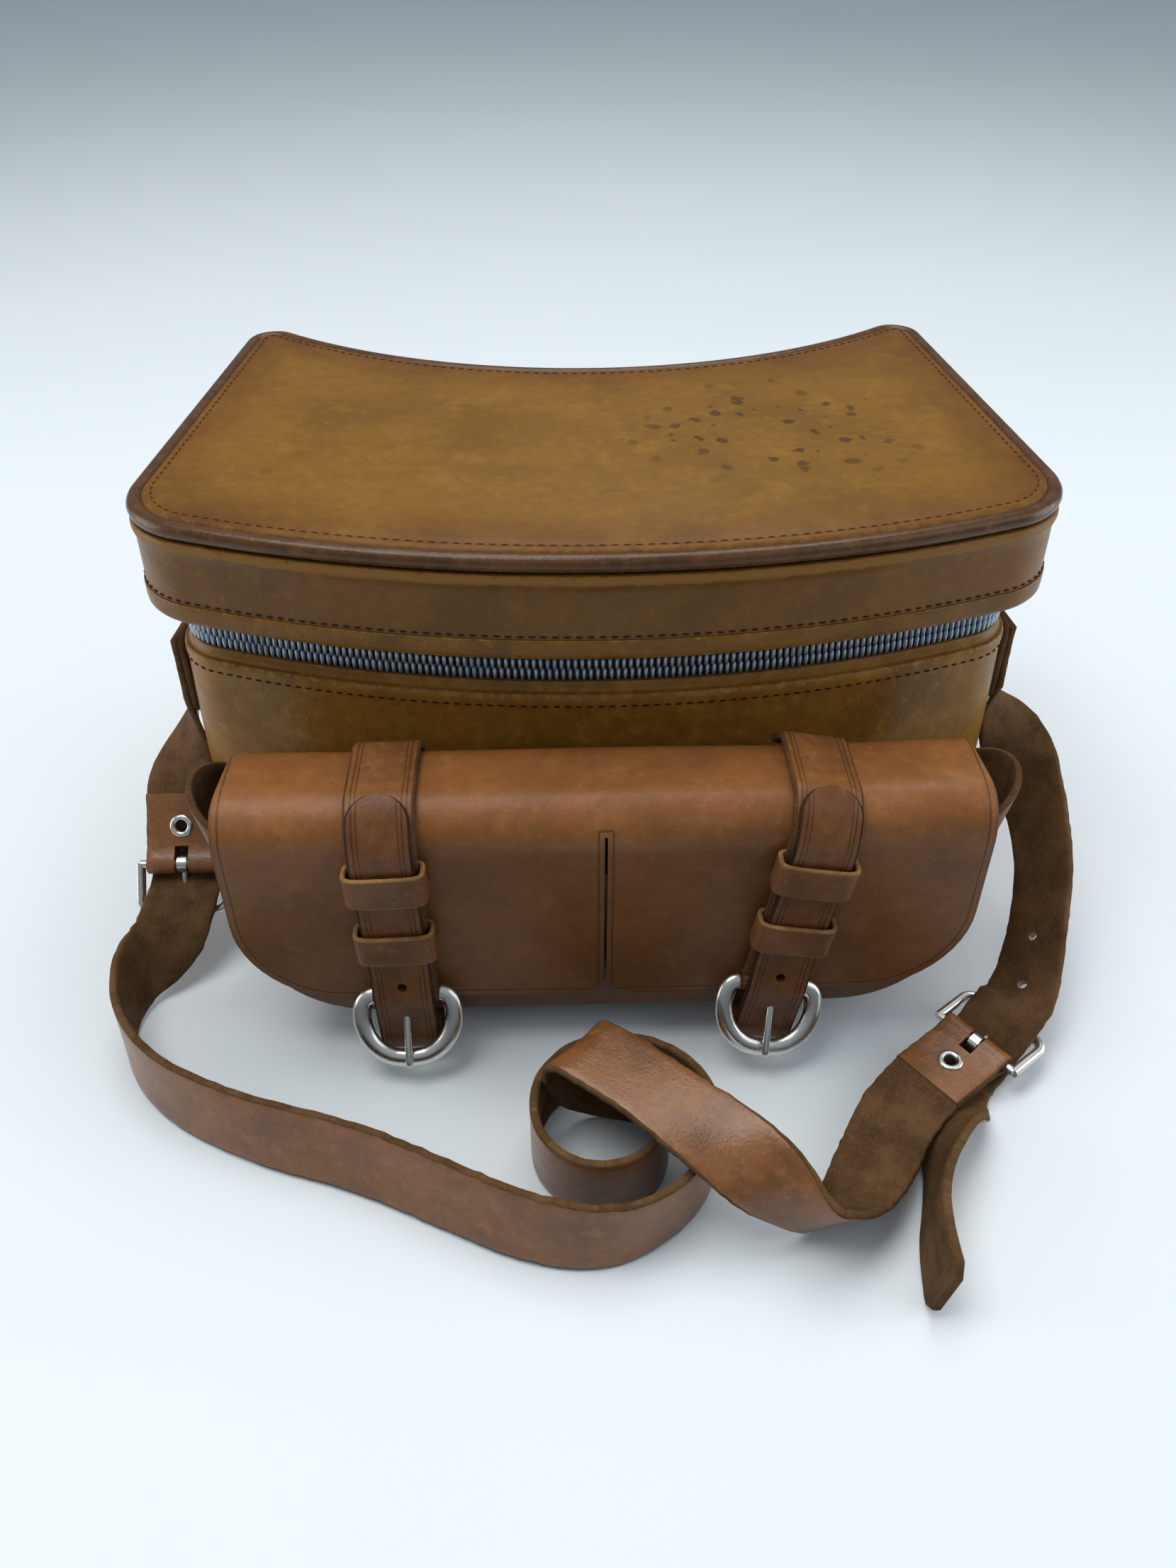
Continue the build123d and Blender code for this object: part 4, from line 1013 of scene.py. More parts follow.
# Each row is a point of a strap's route, then the direction of its width, in metres
SHORT_ROUTE = [
    (-0.14552, -0.0125, 0.1120, 0.11, 0.994, 0.0),
    (-0.14552, -0.0125, 0.0960, 0.11, 0.994, 0.0),
    (-0.14627, -0.0125, 0.0820, 0.11, 0.994, 0.0),
    (-0.1512, -0.0195, 0.0690, -0.35, 0.9, 0.1),
    (-0.1535, -0.0372, 0.0549, -1.0, 0.0, 0.0),
    (-0.1530, -0.0394, 0.0521, -1.0, 0.0, 0.0),
]
LONG_ROUTE = [
    (-0.1530, -0.0391, 0.0428, -1.0, 0.0, 0.0),
    (-0.1530, -0.0483, 0.0272, -1.0, 0.0, 0.0),
    (-0.1530, -0.0690, 0.0257, -1.0, 0.0, 0.1),
    (-0.1570, -0.0770, 0.0170, -0.8, 0.2, 0.6),
    (-0.1680, -0.0920, 0.0138, -0.2, 0.0, 1.0),
    (-0.1650, -0.1160, 0.0132, 0.0, 0.1, 1.0),
    (-0.1470, -0.1390, 0.0131, 0.0, 0.2, 1.0),
    (-0.1140, -0.1560, 0.0130, 0.0, 0.3, 1.0),
    (-0.0800, -0.1660, 0.0129, 0.0, 0.35, 1.0),
    (-0.0500, -0.1810, 0.0129, 0.0, 0.35, 1.0),
    (-0.0260, -0.1930, 0.0130, 0.0, 0.3, 1.0),
    (-0.0030, -0.1975, 0.0131, 0.0, 0.15, 1.0),
    (0.0170, -0.1900, 0.0131, 0.0, 0.0, 1.0),
    (0.0310, -0.1740, 0.0131, 0.0, 0.0, 1.0),
    (0.0340, -0.1520, 0.0131, 0.0, 0.0, 1.0),
    (0.0180, -0.1325, 0.0131, 0.0, 0.0, 1.0),
    (-0.0080, -0.1310, 0.0131, 0.0, 0.0, 1.0),
    (-0.0240, -0.1460, 0.0131, 0.0, 0.0, 1.0),
    (-0.0240, -0.1680, 0.0131, 0.0, 0.0, 1.0),
    (-0.0090, -0.1810, 0.0131, 0.0, 0.0, 1.0),
    (0.0090, -0.1780, 0.0131, 0.0, 0.0, 1.0),
    (0.0190, -0.1630, 0.0131, 0.0, 0.0, 1.0),
    (0.0130, -0.1475, 0.0131, 0.0, 0.0, 1.0),
    (-0.0010, -0.1435, 0.0133, 0.2, 0.1, 1.0),
    (-0.0095, -0.1435, 0.0220, 0.7, 0.5, 0.5),
    (-0.0120, -0.1415, 0.0355, 0.75, 0.65, 0.0),
    (0.0020, -0.1500, 0.0345, 0.7, 0.7, 0.0),
    (0.0220, -0.1680, 0.0335, 0.7, 0.7, 0.05),
    (0.0420, -0.1850, 0.0295, 0.45, 0.5, 0.5),
    (0.0590, -0.1965, 0.0150, -0.1, -0.2, 0.95),
    (0.0690, -0.1900, 0.0128, 0.35, -0.7, 0.55),
    (0.0805, -0.1755, 0.0125, 0.65, -0.65, 0.2),
    (0.0915, -0.1560, 0.0108, 0.66, -0.74, 0.03),
    (0.1043, -0.1425, 0.0102, 0.6, -0.8, 0.0),
    (0.1071, -0.1404, 0.0102, 0.6, -0.8, 0.0),
]
BILLET_ROUTE = [
    (0.14552, -0.0125, 0.1120, 0.11, -0.994, 0.0),
    (0.14552, -0.0125, 0.0960, 0.11, -0.994, 0.0),
    (0.14687, -0.0125, 0.0800, 0.11, -0.994, 0.0),
    (0.1550, -0.0240, 0.0680, -0.5, -0.6, -0.4),
    (0.1625, -0.0460, 0.0500, -0.52, 0.36, -0.74),
    (0.1615, -0.0700, 0.0370, -0.46, 0.56, -0.69),
    (0.1525, -0.0950, 0.0252, -0.45, 0.66, -0.6),
    (0.1455, -0.1105, 0.0164, -0.52, 0.8, -0.3),
    (0.1380, -0.1174, 0.0156, -0.6, 0.8, 0.0),
    (0.1265, -0.1260, 0.0020, -0.6, 0.8, 0.0),
    (0.1150, -0.1370, 0.0018, -0.7, 0.72, 0.0),
    (0.1120, -0.1500, 0.0042, -0.85, 0.4, -0.1),
    (0.1065, -0.1660, 0.0124, -0.4, 0.1, -0.9),
    (0.0985, -0.1820, 0.0135, -0.1, 0.0, -1.0),
    (0.0930, -0.1990, 0.0133, -0.12, 0.0, -1.0),
    (0.0925, -0.2170, 0.0133, -0.2, 0.0, -1.0),
]
STRAP_WIDTH = 0.0254
STRAP_LEATHER = 0.0028
# Where each doubled end folds round its buckle's bar, the way the strap runs on, and the way of its width
HEELS = {
    "left": (
        Vector((-0.153, -0.0537, 0.034)), Vector((0.0, -0.62, -0.785)).normalized(), Vector((-1.0, 0.0, 0.0))
    ),
    "right": (Vector((0.126, -0.1262, 0.0102)), Vector((0.8, 0.6, 0.0)), Vector((0.6, -0.8, 0.0))),
}


class BAG_OT_shoulder_strap(bpy.types.Operator):
    """Makes the three straps that lie in front of the bag"""

    bl_idname = "bag.shoulder_strap"
    bl_label = "Shoulder strap"

    def execute(self, context):
        self.strap("strap_left_short", SHORT_ROUTE)
        long, points, length = self.strap("strap_long", LONG_ROUTE)
        tuple(points[0])
        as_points(points)
        billet, points, length = self.strap("strap_billet_right", BILLET_ROUTE, 0.004, (0.131, 0.150))
        tuple(points[0])
        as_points(points)
        return {"FINISHED"}

    def strap(self, name, route, tip=0.0, holes=()):
        """A strap along its route with holes at these lengths; returns its points and its length too."""
        points, across = spline_points(route), spline_points([row[3:] for row in route])
        pair = ("strap", "flesh")
        obj = ribbon(name, points, across, STRAP_WIDTH, STRAP_LEATHER, pair, tip=tip, ragged=0.0005)
        lengths = run_lengths(points)
        for run in holes:
            i = next(k for k, length in enumerate(lengths) if length >= run)
            axis = (points[i + 1] - points[i]).cross(across[i]).normalized()
            cut(obj, peg(points[i], axis, 1.7, 10.0))
        if holes:
            sharpen(obj, 50)
        place(obj, "case", "strap_leather", name)
        return obj, points, lengths[-1]


class BAG_OT_strap_ends(bpy.types.Operator):
    """Makes the doubled strap ends with their eyelets, and dresses their buckles and prongs"""

    bl_idname = "bag.strap_ends"
    bl_label = "Strap ends"

    def execute(self, context):
        fold = [(26, -0.95), (16, -0.95), (7, -1.0), (4.2, -1.6), (1.2, -2.75), (-1.15, -2.75)]
        fold += [(-2.75, -1.15)]
        fold += [(a, -b) for a, b in reversed(fold)]
        rim = [(2.2, 1.9), (2.35, 2.25), (2.9, 2.5), (3.6, 2.45), (4.1, 2.15), (4.2, 1.9), (3.0, 1.9)]
        rim += [(r, -h) for r, h in reversed(rim)]
        for word, (heel, run, wide) in HEELS.items():
            back = -run
            grain = wide.cross(back)

            def spot(along, up):
                return heel + back * along * MM + grain * up * MM

            points = spline_points([spot(a, b) for a, b in fold])
            across = grain_towards(points, 2, wide, -grain)
            pair = ("strap", "flesh")
            chape = ribbon(f"strap_chape_{word}", points, across, STRAP_WIDTH, 0.0017, pair, ragged=0.0003)
            cut(chape, block(spot(0.5, 0), back * 0.0062, grain * 0.006, wide * 0.0025))
            cut(chape, peg(spot(14, 0), grain, 3.1, 12.0))
            place(sharpen(chape, 50), "case", "strap_leather", f"strap_chape_{word}")
            eyelet = turned(f"strap_eyelet_{word}", spot(14, 0), grain, rim, ("nickel",), 32)
            place(eyelet, "case", "nickel", f"strap_eyelet_{word}")
            dress("nickel", f"strap_buckle_{word}", f"strap_prong_{word}")
        return {"FINISHED"}


class BAG_OT_side_tabs(bpy.types.Operator):
    """Makes the side tabs and the rivets that hold the strap's ends"""

    bl_idname = "bag.side_tabs"
    bl_label = "Side tabs"

    def execute(self, context):
        s = context.scene.bag_case
        front = Vector((s.front_half, s.front_bow - s.depth / 2))
        back = Vector((s.back_half, s.back_bow + s.depth / 2))
        way = (back - front).normalized()
        middle, height = -0.0125, 0.098
        edge = front + way * ((middle - front.y) / way.y)
        half_wide, half_high, corner, inset = 0.0135, 0.016, 0.004, 0.0054
        apart, rise, sunk = 0.0065, 0.007, 0.0004
        dome = [(0.0, 0.0), (3.5, 0.0), (3.6, 0.25), (3.3, 0.8), (2.4, 1.25), (1.2, 1.45), (0.0, 1.5)]
        for side, word in SIDES:
            along = Vector((side * way.x, way.y, 0.0))
            out = Vector((side * way.y, -way.x, 0.0))
            base = Vector((side * edge.x, edge.y, height))
            up = Vector((0.0, 0.0, 1.0))
            outline = []
            for cx, cy, start in ((1, 1, 0), (-1, 1, 90), (-1, -1, 180), (1, -1, 270)):
                for k in range(7):
                    a = math.radians(start + 15 * k)
                    x = cx * (half_wide - corner) + corner * math.cos(a)
                    y = cy * (half_high - corner) + corner * math.sin(a)
                    outline.append(base - out * inset + along * x + up * y)
            tab = slab(f"side_tab_{word}", outline, out, 0.0024, ("tab", "cut"), 0.0006)
            place(tab, "case", "case_leather", f"side_tab_{word}")
            low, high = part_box(f"rivets_{word}")
            foot = abs(high[0] if side < 0 else low[0])
            heads = []
            for turn in (-1, 1):
                centre = base + along * turn * apart + up * rise
                centre -= out * (abs(centre.x) - foot + sunk)
                heads.append(turned("head", centre, out, dome, ("nickel",), 24))
            place(join_parts(f"rivet_heads_{word}", heads), "case", "nickel", f"rivets_{word}")
        return {"FINISHED"}


# Case, zip and lid


class BAG_OT_case(bpy.types.Operator):
    """Makes the case's wall with its turned lip, and dresses the base and the lining"""

    bl_idname = "bag.case"
    bl_label = "Case"

    def execute(self, context):
        rows = [(10.8, 0.6, 0), (10.2, 0.05, 0), (9.6, 0.0, 0.1), (8.8, 0.3, 0.5), (8.2, 1.2, 0.6)]
        rows += [(8.0, 3.0, 0.3)]
        bulge = 0.9
        rows += [(8.0 - bulge * math.sin(math.pi * k / 10), 3 + 10.6 * k, 0.0) for k in range(1, 10)]
        rows += [(8.0, 108.0, 0), (7.9, 111.0, 0.1), (7.75, 113.2, 0.25), (7.8, 114.6, 0.5)]
        rows += [(8.2, 115.6, 0.6), (9.0, 116.0, 0.4), (10.0, 115.9, 0.2), (10.7, 115.4, 0.1)]
        rows += [(10.9, 114.6, 0), (10.9, 60.0, 0)]
        place(band_shell("body_wall", case_outline(), rows, "case"), "case", "case_leather", "body_wall")
        dress("base", "body_base")
        dress("lining", "body_lining")
        return {"FINISHED"}


class BAG_OT_lid(bpy.types.Operator):
    """Makes the lid's band, binding, piping and top panel"""

    bl_idname = "bag.lid"
    bl_label = "Lid"

    def execute(self, context):
        rim = case_outline()
        rows = [(3.3, 136.0, 0), (2.9, 135.3, 0), (1.2, 135.2, 0), (0.75, 136.0, 0), (0.65, 139.0, 0)]
        rows += [(0.7, 142.0, 0), (0.8, 146.0, 0), (0.85, 150.0, 0), (0.95, 154.0, 0), (1.0, 157.0, 0)]
        # The third values on the band's upper ridge paint a highlight along it in the band's lighter colour.
        rows += [(0.85, 158.6, 0.1), (0.4, 159.9, 0.45), (0.1, 161.1, 0.8), (0.15, 162.2, 0.85)]
        rows += [(0.6, 163.2, 0.7), (1.4, 163.7, 0.3), (2.6, 163.6, 0), (3.3, 163.0, 0), (3.4, 150.0, 0)]
        place(band_shell("lid_band", rim, rows, "band"), "lid", "case_leather", "lid_band")
        rows = [(3.2, 134.9, 0), (1.4, 134.7, 0.2), (0.5, 134.8, 0.5), (0.05, 135.4, 0.5)]
        rows += [(-0.05, 136.6, 0.2), (-0.05, 139.6, 0.1), (0.0, 140.7, 0.3), (0.25, 141.4, 0.5)]
        rows += [(0.66, 141.5, 0.2), (0.66, 138.0, 0), (0.7, 135.6, 0), (1.4, 135.1, 0), (3.2, 135.1, 0)]
        place(band_shell("lid_binding", rim, rows, "binding"), "lid", "binding_leather", "lid_binding")
        rows = []
        roll = 2.85
        for k in range(16):
            a = -math.pi / 2 + 2 * math.pi * k / 16
            worn_and_lit = 0.35 if 3 <= k <= 6 else 0.0
            rows.append((2.95 - roll * math.cos(a), 166.65 + roll * math.sin(a), worn_and_lit))
        place(band_shell("lid_piping", rim, rows, "piping"), "lid", "binding_leather", "lid_piping")
        self.top_panel(rim)
        dress("board", "lid_board")
        dress("lining", "lid_lining")
        return {"FINISHED"}

    def top_panel(self, rim):
        """The top panel: a rolled edge, a sewn channel and a flat middle."""
        rows = [(6.2, 163.9, 0), (5.3, 164.6, 0), (4.9, 166.0, 0.1), (4.8, 167.3, 0.45), (5.0, 168.4, 0.62)]
        rows += [(5.7, 169.2, 0.6), (6.6, 169.7, 0.48), (7.5, 169.75, 0.3), (8.2, 169.55, 0.1)]
        rows += [(8.9, 169.65, 0.05), (9.8, 170.0, 0), (10.8, 170.25, 0)]
        count = len(rim)
        verts = [at_inset(point, a, b) for a, b, _ in rows for point in rim]
        wear_and_highlight = [w for _, _, w in rows for _ in rim]
        faces = grid_faces(len(rows), count, False, True)
        faces.append(tuple((len(rows) - 1) * count + c for c in range(count)))
        faces.append(tuple(reversed(range(count))))
        panel = mesh_object("lid_top", verts, faces, None, ("lid",), wear_and_highlight=wear_and_highlight)
        place(panel, "lid", "case_leather", "lid_top")


# The zip's teeth stand this far inside the outline, in millimetres
TEETH_INSET = 11.7
# The hinge takes what is further back than its ends, and the hollow between its sides
HINGE_END, HINGE_SIDE, HOLLOW = 0.090, 0.112, 0.015


def at_back(point):
    """Whether a point of the outline is on the hollow back, where the hinge runs instead of the zip."""
    spot = point[0]
    return spot.y > HINGE_END or (abs(spot.x) < HINGE_SIDE and spot.y > HOLLOW)


class BAG_OT_zip(bpy.types.Operator):
    """Makes the zip's teeth, cores and lip, and dresses its tapes, slider and pull"""

    bl_idname = "bag.zip"
    bl_label = "Zip"

    def execute(self, context):
        s = context.scene.bag_sewing
        rim = case_outline()
        middle = min(range(len(rim)), key=lambda i: (abs(rim[i][0].x) > 0.001, -rim[i][0].y))
        run = [point for point in rim[middle:] + rim[:middle] if not at_back(point)]
        run = [point for point in run if point[0].y < HINGE_END]
        chains = (("lower", "case", 122.1, 0.0, 119.6), ("upper", "lid", 125.9, 0.5, 124.15))
        for word, body, height, shift, _ in chains:
            line = [(at_inset(point, TEETH_INSET, height), point[1].to_3d()) for point in run]
            way = (line[1][0] - line[0][0]).normalized()
            line[0] = (line[0][0] + way * s.tooth_pitch * shift, line[0][1])
            teeth = lay_bars(f"zip_teeth_{word}", line, s.tooth_pitch, s.tooth_size, "zip")
            place(teeth, body, "zip_metal", f"zip_teeth_{word}")
            dress("tape", f"zip_tape_{word}")
        dress("zip", "zip_end_stops", "zip_slider", "zip_pull")
        near, far, rise = 12.4, 12.8, 4.25
        for word, body, _, _, low in chains:
            rows = [(near, low, 0), (near, low + rise, 0), (far, low + rise, 0), (far, low, 0)]
            place(band_shell(f"zip_core_{word}", run, rows, "core", loop=False), body, "zip_tape")
        rows = [(9.0, 115.6, 0.2), (10.2, 117.6, 0.2), (10.9, 119.2, 0.5), (11.12, 119.4, 0.3)]
        rows += [(11.12, 116.0, 0), (10.0, 115.2, 0)]
        place(band_shell("zip_lip", run, rows, "case", loop=False), "case", "case_leather")
        return {"FINISHED"}


class BAG_OT_hinge(bpy.types.Operator):
    """Makes the leather hinge along the hollow back"""

    bl_idname = "bag.hinge"
    bl_label = "Back hinge"

    def execute(self, context):
        rim = [point for point in case_outline() if at_back(point)]
        rows = [(8.3, 116.3), (8.1, 119.0), (8.05, 122.0), (8.05, 125.0), (8.1, 128.0), (8.1, 130.5)]
        rows += [(8.0, 132.5), (7.5, 134.2), (6.2, 135.1), (3.7, 135.3), (3.7, 136.3), (8.0, 136.3)]
        rows += [(10.2, 136.0), (10.8, 134.8), (10.8, 131.0), (10.8, 126.0), (10.8, 121.0), (10.8, 116.3)]
        hinge = band_shell("hinge_leather", rim, [(a, b, 0.0) for a, b in rows], "hinge", loop=False)
        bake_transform(hinge)
        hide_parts("hinge_leather")
        return {"FINISHED"}


class BAG_OT_stitching(bpy.types.Operator):
    """Lays the stitch lines on the lid and on the case's lip"""

    bl_idname = "bag.stitching"
    bl_label = "Stitching"

    def execute(self, context):
        s = context.scene.bag_sewing
        rim = case_outline()
        ring = rim + rim[:1]
        seams = (
            ("lid_stitches", 8.2, 169.62, True, "tan_thread", "lid"),
            ("band_stitches", 0.55, 142.6, False, "thread", "lid"),
            ("case_stitches", 7.7, 111.6, False, "thread", "case"),
        )
        for name, inset, height, flat, thread, body in seams:
            line = [(at_inset(p, inset, height), Vector((0, 0, 1)) if flat else p[1].to_3d()) for p in ring]
            place(lay_bars(name, line, s.stitch_pitch, s.stitch_size, thread), body, "binding_leather")
        return {"FINISHED"}


# Front pouch


BACK_PANEL = -0.0673
FRONT_PANEL = -0.1055
POUCH_MIDDLE = -0.0877
POUCH_LEATHER = 0.0026
# Height at which the flap's bend starts, and the bend's radius at the middle of the leather
SPRING = 0.0875
BEND = 0.0137


def pouch_edge(high, inset=0.0):
    """Edge of a pouch panel in X and Z: straight top, rounded lower corners."""
    p = bpy.context.scene.bag_pouch
    half, low, radius = p.half - inset, p.low + inset, p.corner - inset
    points = [(half, high)]
    for k in range(13):
        a = -math.radians(7.5 * k)
        points.append((half - radius + radius * math.cos(a), low + radius + radius * math.sin(a)))
    return points + [(-x, z) for x, z in reversed(points)]


class BAG_OT_pouch(bpy.types.Operator):
    """Makes the pouch's panels, its bottom strip and its open end gussets"""

    bl_idname = "bag.pouch"
    bl_label = "Pouch"

    def execute(self, context):
        for name, high, y in (("pocket_back", SPRING, BACK_PANEL), ("pocket_front", 0.076, FRONT_PANEL)):
            outline = [Vector((x, y - POUCH_LEATHER, z)) for x, z in pouch_edge(high)]
            panel = slab(name, outline, Vector((0, -1, 0)), POUCH_LEATHER, ("pouch", "cut"), 0.0007)
            place(panel, "case", "pouch_leather", name)
        ends, inset, width = 0.0542, 0.0012, 0.0355
        middle = [Vector((x, POUCH_MIDDLE, z)) for x, z in pouch_edge(ends, inset)]
        across = grain_towards(middle, 12, Vector((0, 1, 0)), Vector((0, 0, -1)))
        strip = ribbon("pocket_bottom", middle, across, width, 0.0024, ("pouch", "inside"))
        place(sharpen(strip, 60), "case", "pouch_leather", "pocket_bottom")
        for side, word in SIDES:
            self.gusset(side, word, context.scene.bag_pouch.half)
        return {"FINISHED"}

    def gusset(self, side, word, half):
        """An end gusset: a C-shaped leather wall that bulges further towards its open top."""
        rows, columns = 12, 28
        foot, high, peak, depth = 0.0546, 0.0363, 0.0105, 0.0165
        spread = 0.0122 if side < 0 else 0.0138
        verts, uvs = [], []
        for r in range(rows + 1):
            share = r / rows
            bulge = 0.003 + spread * share**0.85
            for c in range(columns + 1):
                a = math.pi * c / columns
                x = side * (half - 0.0012 + bulge * math.sin(a) ** 0.8)
                y = POUCH_MIDDLE - depth * math.cos(a) * (1.0 + 0.02 * share)
                height = foot + (high + peak * math.sin(a)) * share
                verts.append((x, y, height))
                uvs.append((c * 0.0018, height))
        faces = grid_faces(rows + 1, columns + 1)
        if side > 0:
            faces = [quad[::-1] for quad in faces]
        piece = mesh_object(f"pocket_gusset_{word}", verts, faces, uvs, ("pouch", "inside", "cut"))
        if piece.data.polygons[columns // 2].normal.x * side < 0:
            piece.data.flip_normals()
        place(thicken(piece, 0.0022, 0.0006), "case", "pouch_leather", f"pocket_gusset_{word}")


class BAG_OT_flap(bpy.types.Operator):
    """Makes the flap: one sheet from the back over the top and down the front, slit in the middle"""

    bl_idname = "bag.flap"
    bl_label = "Pouch flap"

    def execute(self, context):
        p = context.scene.bag_pouch
        back, front_bend, front_face = -0.0823, -0.0960, -0.1097
        path = []
        for k in range(10):
            a = math.radians(2 + 88 * k / 9)
            path.append((back + BEND * math.cos(a), SPRING + BEND * math.sin(a)))
        path += [(back - BEND * k / 4, SPRING + BEND) for k in range(1, 4)]
        for k in range(10):
            a = math.radians(90 + 10 * k)
            path.append((front_bend + BEND * math.cos(a), SPRING + BEND * math.sin(a)))
        bow = p.flap_low + p.flap_corner
        levels = [SPRING - 0.0015, 0.083, 0.079, 0.075, 0.071, 0.067, 0.0625]
        levels += [bow - p.flap_corner * math.sin(math.radians(7.5 * k)) for k in range(13)]
        first = len(path)
        path += [(front_face, z) for z in levels]
        travel = run_lengths([Vector(spot) for spot in path])
        columns = 26
        verts, uvs = [], []

        def rounded(radius, low, z):
            rise = max(0.0, low + radius - z)
            return radius - math.sqrt(max(0.0, radius**2 - rise**2))

        for row, (y, z) in enumerate(path):
            front = row >= first
            outer, inner = p.flap_half - 0.004 * max(0.0, 1 - row / 16), 0.0004
            if front:
                outer -= rounded(p.flap_corner, p.flap_low, z)
                inner += rounded(p.slit_corner, p.flap_low, z)
            for side in (-1, 1):
                for c in range(columns + 1):
                    share = c / columns if side > 0 else 1 - c / columns
                    x = side * (inner + (outer - inner) * share)
                    wave = noise.noise(Vector((x * 16, z * 9 + y * 5, 2.5))) * 0.0009
                    curl = max(0.0, (bow - z) / p.flap_corner) ** 2 if front else 0.0
                    lift = (0.0009 + 0.0006 * (1 - share)) * curl
                    verts.append((x, y + wave * 0.6 - lift, z + (0.0 if front else wave)))
                    uvs.append((x, travel[-1] - travel[row]))
        width = 2 * (columns + 1)
        slit_start = (first - 3) * width
        faces = grid_faces(len(path), width, flip=True)
        faces = [quad for quad in faces if quad[0] < slit_start or quad[0] % width != columns]
        # The flap's cut edges take the very dark edge colour, which paints the shadow line under its lower
        # edge.
        flap = mesh_object("pocket_flap", verts, faces, uvs, ("flap", "inside", "dark_cut_and_shadow"))
        if flap.data.polygons[(len(path) - 4) * (width - 1)].normal.y > 0:
            flap.data.flip_normals()
        thicken(flap, POUCH_LEATHER, 0.0006)
        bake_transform(flap)
        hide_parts("pocket_flap", "pocket_flap_root")
        return {"FINISHED"}


# Depth of the flap strap's front and height of the buckle's bar, in a pocket strap's own millimetres
STRAP_FRONT = -114.7
BAR = -57.5


def strap_frame(side):
    """Plane of a pocket strap: maps depth, rise and width in millimetres to the shared frame."""
    p = bpy.context.scene.bag_pouch
    lean = p.lean_left if side < 0 else p.lean_right
    up = Vector((side * math.sin(lean), 0.0, math.cos(lean)))
    wide = Vector((math.cos(lean), 0.0, -side * math.sin(lean)))
    origin = Vector((-p.place_left if side < 0 else p.place_right, 0.0, SPRING))

    def spot(y, h, w=0.0):
        return origin + Vector((0.0, y * MM, 0.0)) + up * h * MM + wide * w * MM

    return spot, up, wide


class BAG_OT_pouch_straps(bpy.types.Operator):
    """Makes the two flap straps, the billets and the keepers"""

    bl_idname = "bag.pouch_straps"
    bl_label = "Pouch straps"

    def execute(self, context):
        for side, word in SIDES:
            spot, up, wide = strap_frame(side)
            self.flap_strap(word, spot, wide)
            self.billet(word, spot, wide)
            for level, height in (("upper", -6.5), ("lower", -32.0)):
                self.keeper(f"keeper_{level}_{word}", spot, up, height)
        return {"FINISHED"}

    def flap_strap(self, word, spot, wide):
        """A flap strap from the back to the two loops that hold the buckle's bar."""
        route = [(-68.7, 9.5), (-73.7, 16.6), (-84, 16.6), (-96, 16.6), (-105, 16.6), (STRAP_FRONT, 6.9)]
        route += [(STRAP_FRONT, height) for height in (-2, -15, -30, -43, -54.6)]
        pair = ("flap_strap", "cut")
        points = spline_points([spot(y, h) for y, h in route])
        parts = [ribbon(f"flap_strap_{word}", points, wide, FLAP_STRAP_WIDTH, 0.0028, pair)]
        for way in (-1, 1):
            ring = []
            for k in range(24):
                a = 2 * math.pi * k / 24
                ring.append(spot(STRAP_FRONT - 2.75 * math.sin(a), BAR + 2.75 * math.cos(a), way * 6.75))
            parts.append(ribbon("loop", ring, wide, 0.0085, 0.0017, pair, loop=True))
        strap = sharpen(join_parts(f"flap_strap_{word}", parts), 50)
        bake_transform(strap)
        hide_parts(f"flap_strap_{word}", f"flap_strap_root_{word}")

    def billet(self, word, spot, wide):
        """A billet from under the pouch through the buckle and the keepers, with two holes."""
        route = [(-82.3, -78.2), (-92, -78.2), (-102, -78.2), (-108.5, -78.9), (-114, -79.6), (-118.6, -79.4)]
        route += [(-120.6, -76.6), (-120.2, -67), (-120.2, -55), (-118.8, -49)]
        route += [(-117.65, height) for height in (-44, -24, -4)]
        route += [(-117.4, 5.2), (-113.7, 12.8), (-108.6, 17.6), (-104.5, 19.7)]
        points = spline_points([spot(y, h) for y, h in route])
        across = grain_towards(points, len(points) // 2, wide, Vector((0.0, -1.0, 0.0)))
        trio = ("billet", "cut", "dark_cut_and_shadow")
        billet = ribbon(f"billet_{word}", points, across, BILLET_WIDTH, 0.0025, trio, tip=0.0095)
        for depth, height in ((-118.5, -49.5), (-117.65, -37.0)):
            cut(billet, peg(spot(depth, height), Vector((0.0, 1.0, 0.0)), 1.6, 9.0))
        sharpen(billet, 50)
        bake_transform(billet)
        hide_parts(f"billet_{word}")

    def keeper(self, name, spot, up, height):
        """A keeper: a flat loop with rounded corners round the strap and the billet."""
        middle, half_wide, half_deep, squareness = -116.1, 12.15, 3.95, 0.42
        ring = []
        for k in range(48):
            a = 2 * math.pi * k / 48
            c, s = math.cos(a), math.sin(a)
            w = half_wide * math.copysign(abs(c) ** squareness, c)
            d = half_deep * math.copysign(abs(s) ** squareness, s)
            ring.append(spot(middle + d - 0.35 * max(0.0, -s), height, w))
        across = grain_towards(ring, 0, up, ring[0] - spot(middle, height), True)
        loop = ribbon(name, ring, across, 0.012, 0.0016, ("keeper", "light_cut"), loop=True)
        place(sharpen(loop, 50), f"{name}_body", "strap_leather", name)


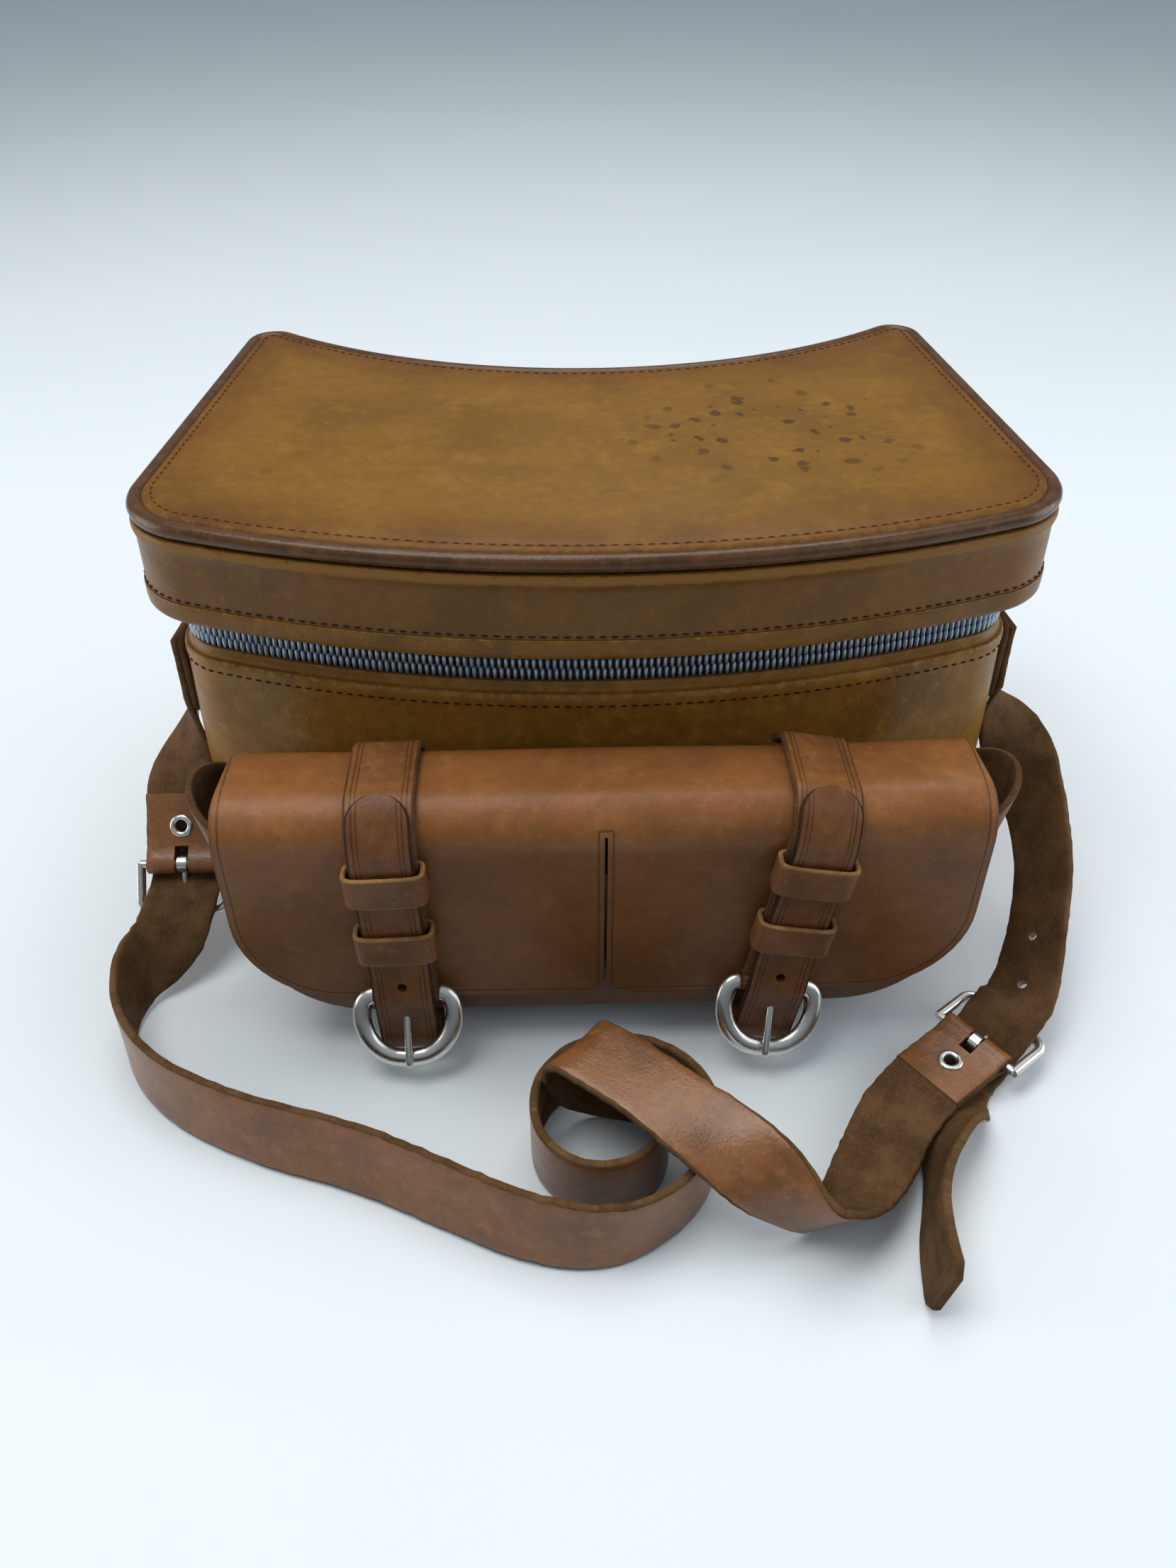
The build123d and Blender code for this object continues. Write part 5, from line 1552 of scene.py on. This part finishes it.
class BAG_OT_pouch_buckles(bpy.types.Operator):
    """Makes the two horseshoe buckles and their prongs"""

    bl_idname = "bag.pouch_buckles"
    bl_label = "Pouch buckles"

    def execute(self, context):
        tilt = math.radians(32.0)
        half = [(11.0, -0.7), (13.0, -1.0), (15.0, -3.6), (15.6, -9.0), (14.0, -15.2), (10.6, -19.6)]
        half += [(6.2, -22.2), (2.0, -22.9)]
        for side, word in SIDES:
            spot, rise, wide = strap_frame(side)
            origin = spot(STRAP_FRONT, BAR)
            up = rise * math.cos(tilt) + Vector((0.0, 1.0, 0.0)) * math.sin(tilt)
            front = wide.cross(up)

            def at(x, y, z=0.0):
                return origin + (wide * x + up * y + front * z) * MM

            route = [at(x, y) for x, y in half] + [at(-x, y) for x, y in reversed(half)]
            frame_rod = tube("frame", spline_points(route), front, 0.0031, 0.0022, "nickel")
            bar = tube("bar", [at(-12.0, 0), at(0, 0), at(12.0, 0)], front, 0.0016, 0.0016, "nickel")
            buckle = join_parts(f"pocket_buckle_{word}", [frame_rod, bar])
            place(buckle, f"buckle_{word}", "nickel", f"pocket_buckle_{word}")
            turns = [2 * math.pi * k / 20 for k in range(20)]
            ring = [at(0, 2.6 * math.cos(a), 2.6 * math.sin(a)) for a in turns]
            eye = ribbon("eye", ring, wide, 0.0034, 0.0014, ("nickel", "nickel"), loop=True)
            route = [at(0, -1.85, 1.6), at(0, -9, 2.3), at(0, -17, 3.2), at(0, -23.8, 4.0)]
            pin = tube("pin", spline_points(route), front, 0.0012, 0.0011, "nickel")
            prong = join_parts(f"pocket_prong_{word}", [eye, pin])
            place(prong, f"prong_{word}", "nickel", f"pocket_prong_{word}")
        return {"FINISHED"}


class BAG_PT_panel(bpy.types.Panel):
    """Lists the steps that build the bag"""

    bl_idname = "BAG_PT_panel"
    bl_label = "Contour camera bag"
    bl_space_type = "VIEW_3D"
    bl_region_type = "UI"
    bl_category = "Bag"

    def draw(self, context):
        for step in STEPS:
            self.layout.operator(step.bl_idname)
        for group in GROUPS:
            settings = getattr(context.scene, group)
            box = self.layout.box()
            for key in settings.bl_rna.properties.keys():
                if key not in ("rna_type", "name"):
                    box.prop(settings, key)


STEPS = (
    BAG_OT_stage,
    BAG_OT_shoulder_strap,
    BAG_OT_strap_ends,
    BAG_OT_side_tabs,
    BAG_OT_case,
    BAG_OT_lid,
    BAG_OT_zip,
    BAG_OT_hinge,
    BAG_OT_stitching,
    BAG_OT_pouch,
    BAG_OT_flap,
    BAG_OT_pouch_straps,
    BAG_OT_pouch_buckles,
)
GROUPS = {
    "bag_case": BagCaseSizes,
    "bag_pouch": BagPouchSizes,
    "bag_sewing": BagSewingSizes,
    "bag_colours": BagColours,
}


def register():
    for name, group in GROUPS.items():
        bpy.utils.register_class(group)
        setattr(bpy.types.Scene, name, bpy.props.PointerProperty(type=group))
    for step in STEPS:
        bpy.utils.register_class(step)
    bpy.utils.register_class(BAG_PT_panel)


def unregister():
    bpy.utils.unregister_class(BAG_PT_panel)
    for step in reversed(STEPS):
        bpy.utils.unregister_class(step)
    for name, group in GROUPS.items():
        delattr(bpy.types.Scene, name)
        bpy.utils.unregister_class(group)


def main():
    register()
    make_materials()
    bpy.ops.bag.stage()
    bpy.ops.bag.shoulder_strap()
    bpy.ops.bag.strap_ends()
    bpy.ops.bag.side_tabs()
    bpy.ops.bag.case()
    bpy.ops.bag.lid()
    bpy.ops.bag.zip()
    bpy.ops.bag.hinge()
    bpy.ops.bag.stitching()
    bpy.ops.bag.pouch()
    bpy.ops.bag.flap()
    bpy.ops.bag.pouch_straps()
    bpy.ops.bag.pouch_buckles()


if __name__ == "__main__":
    main()
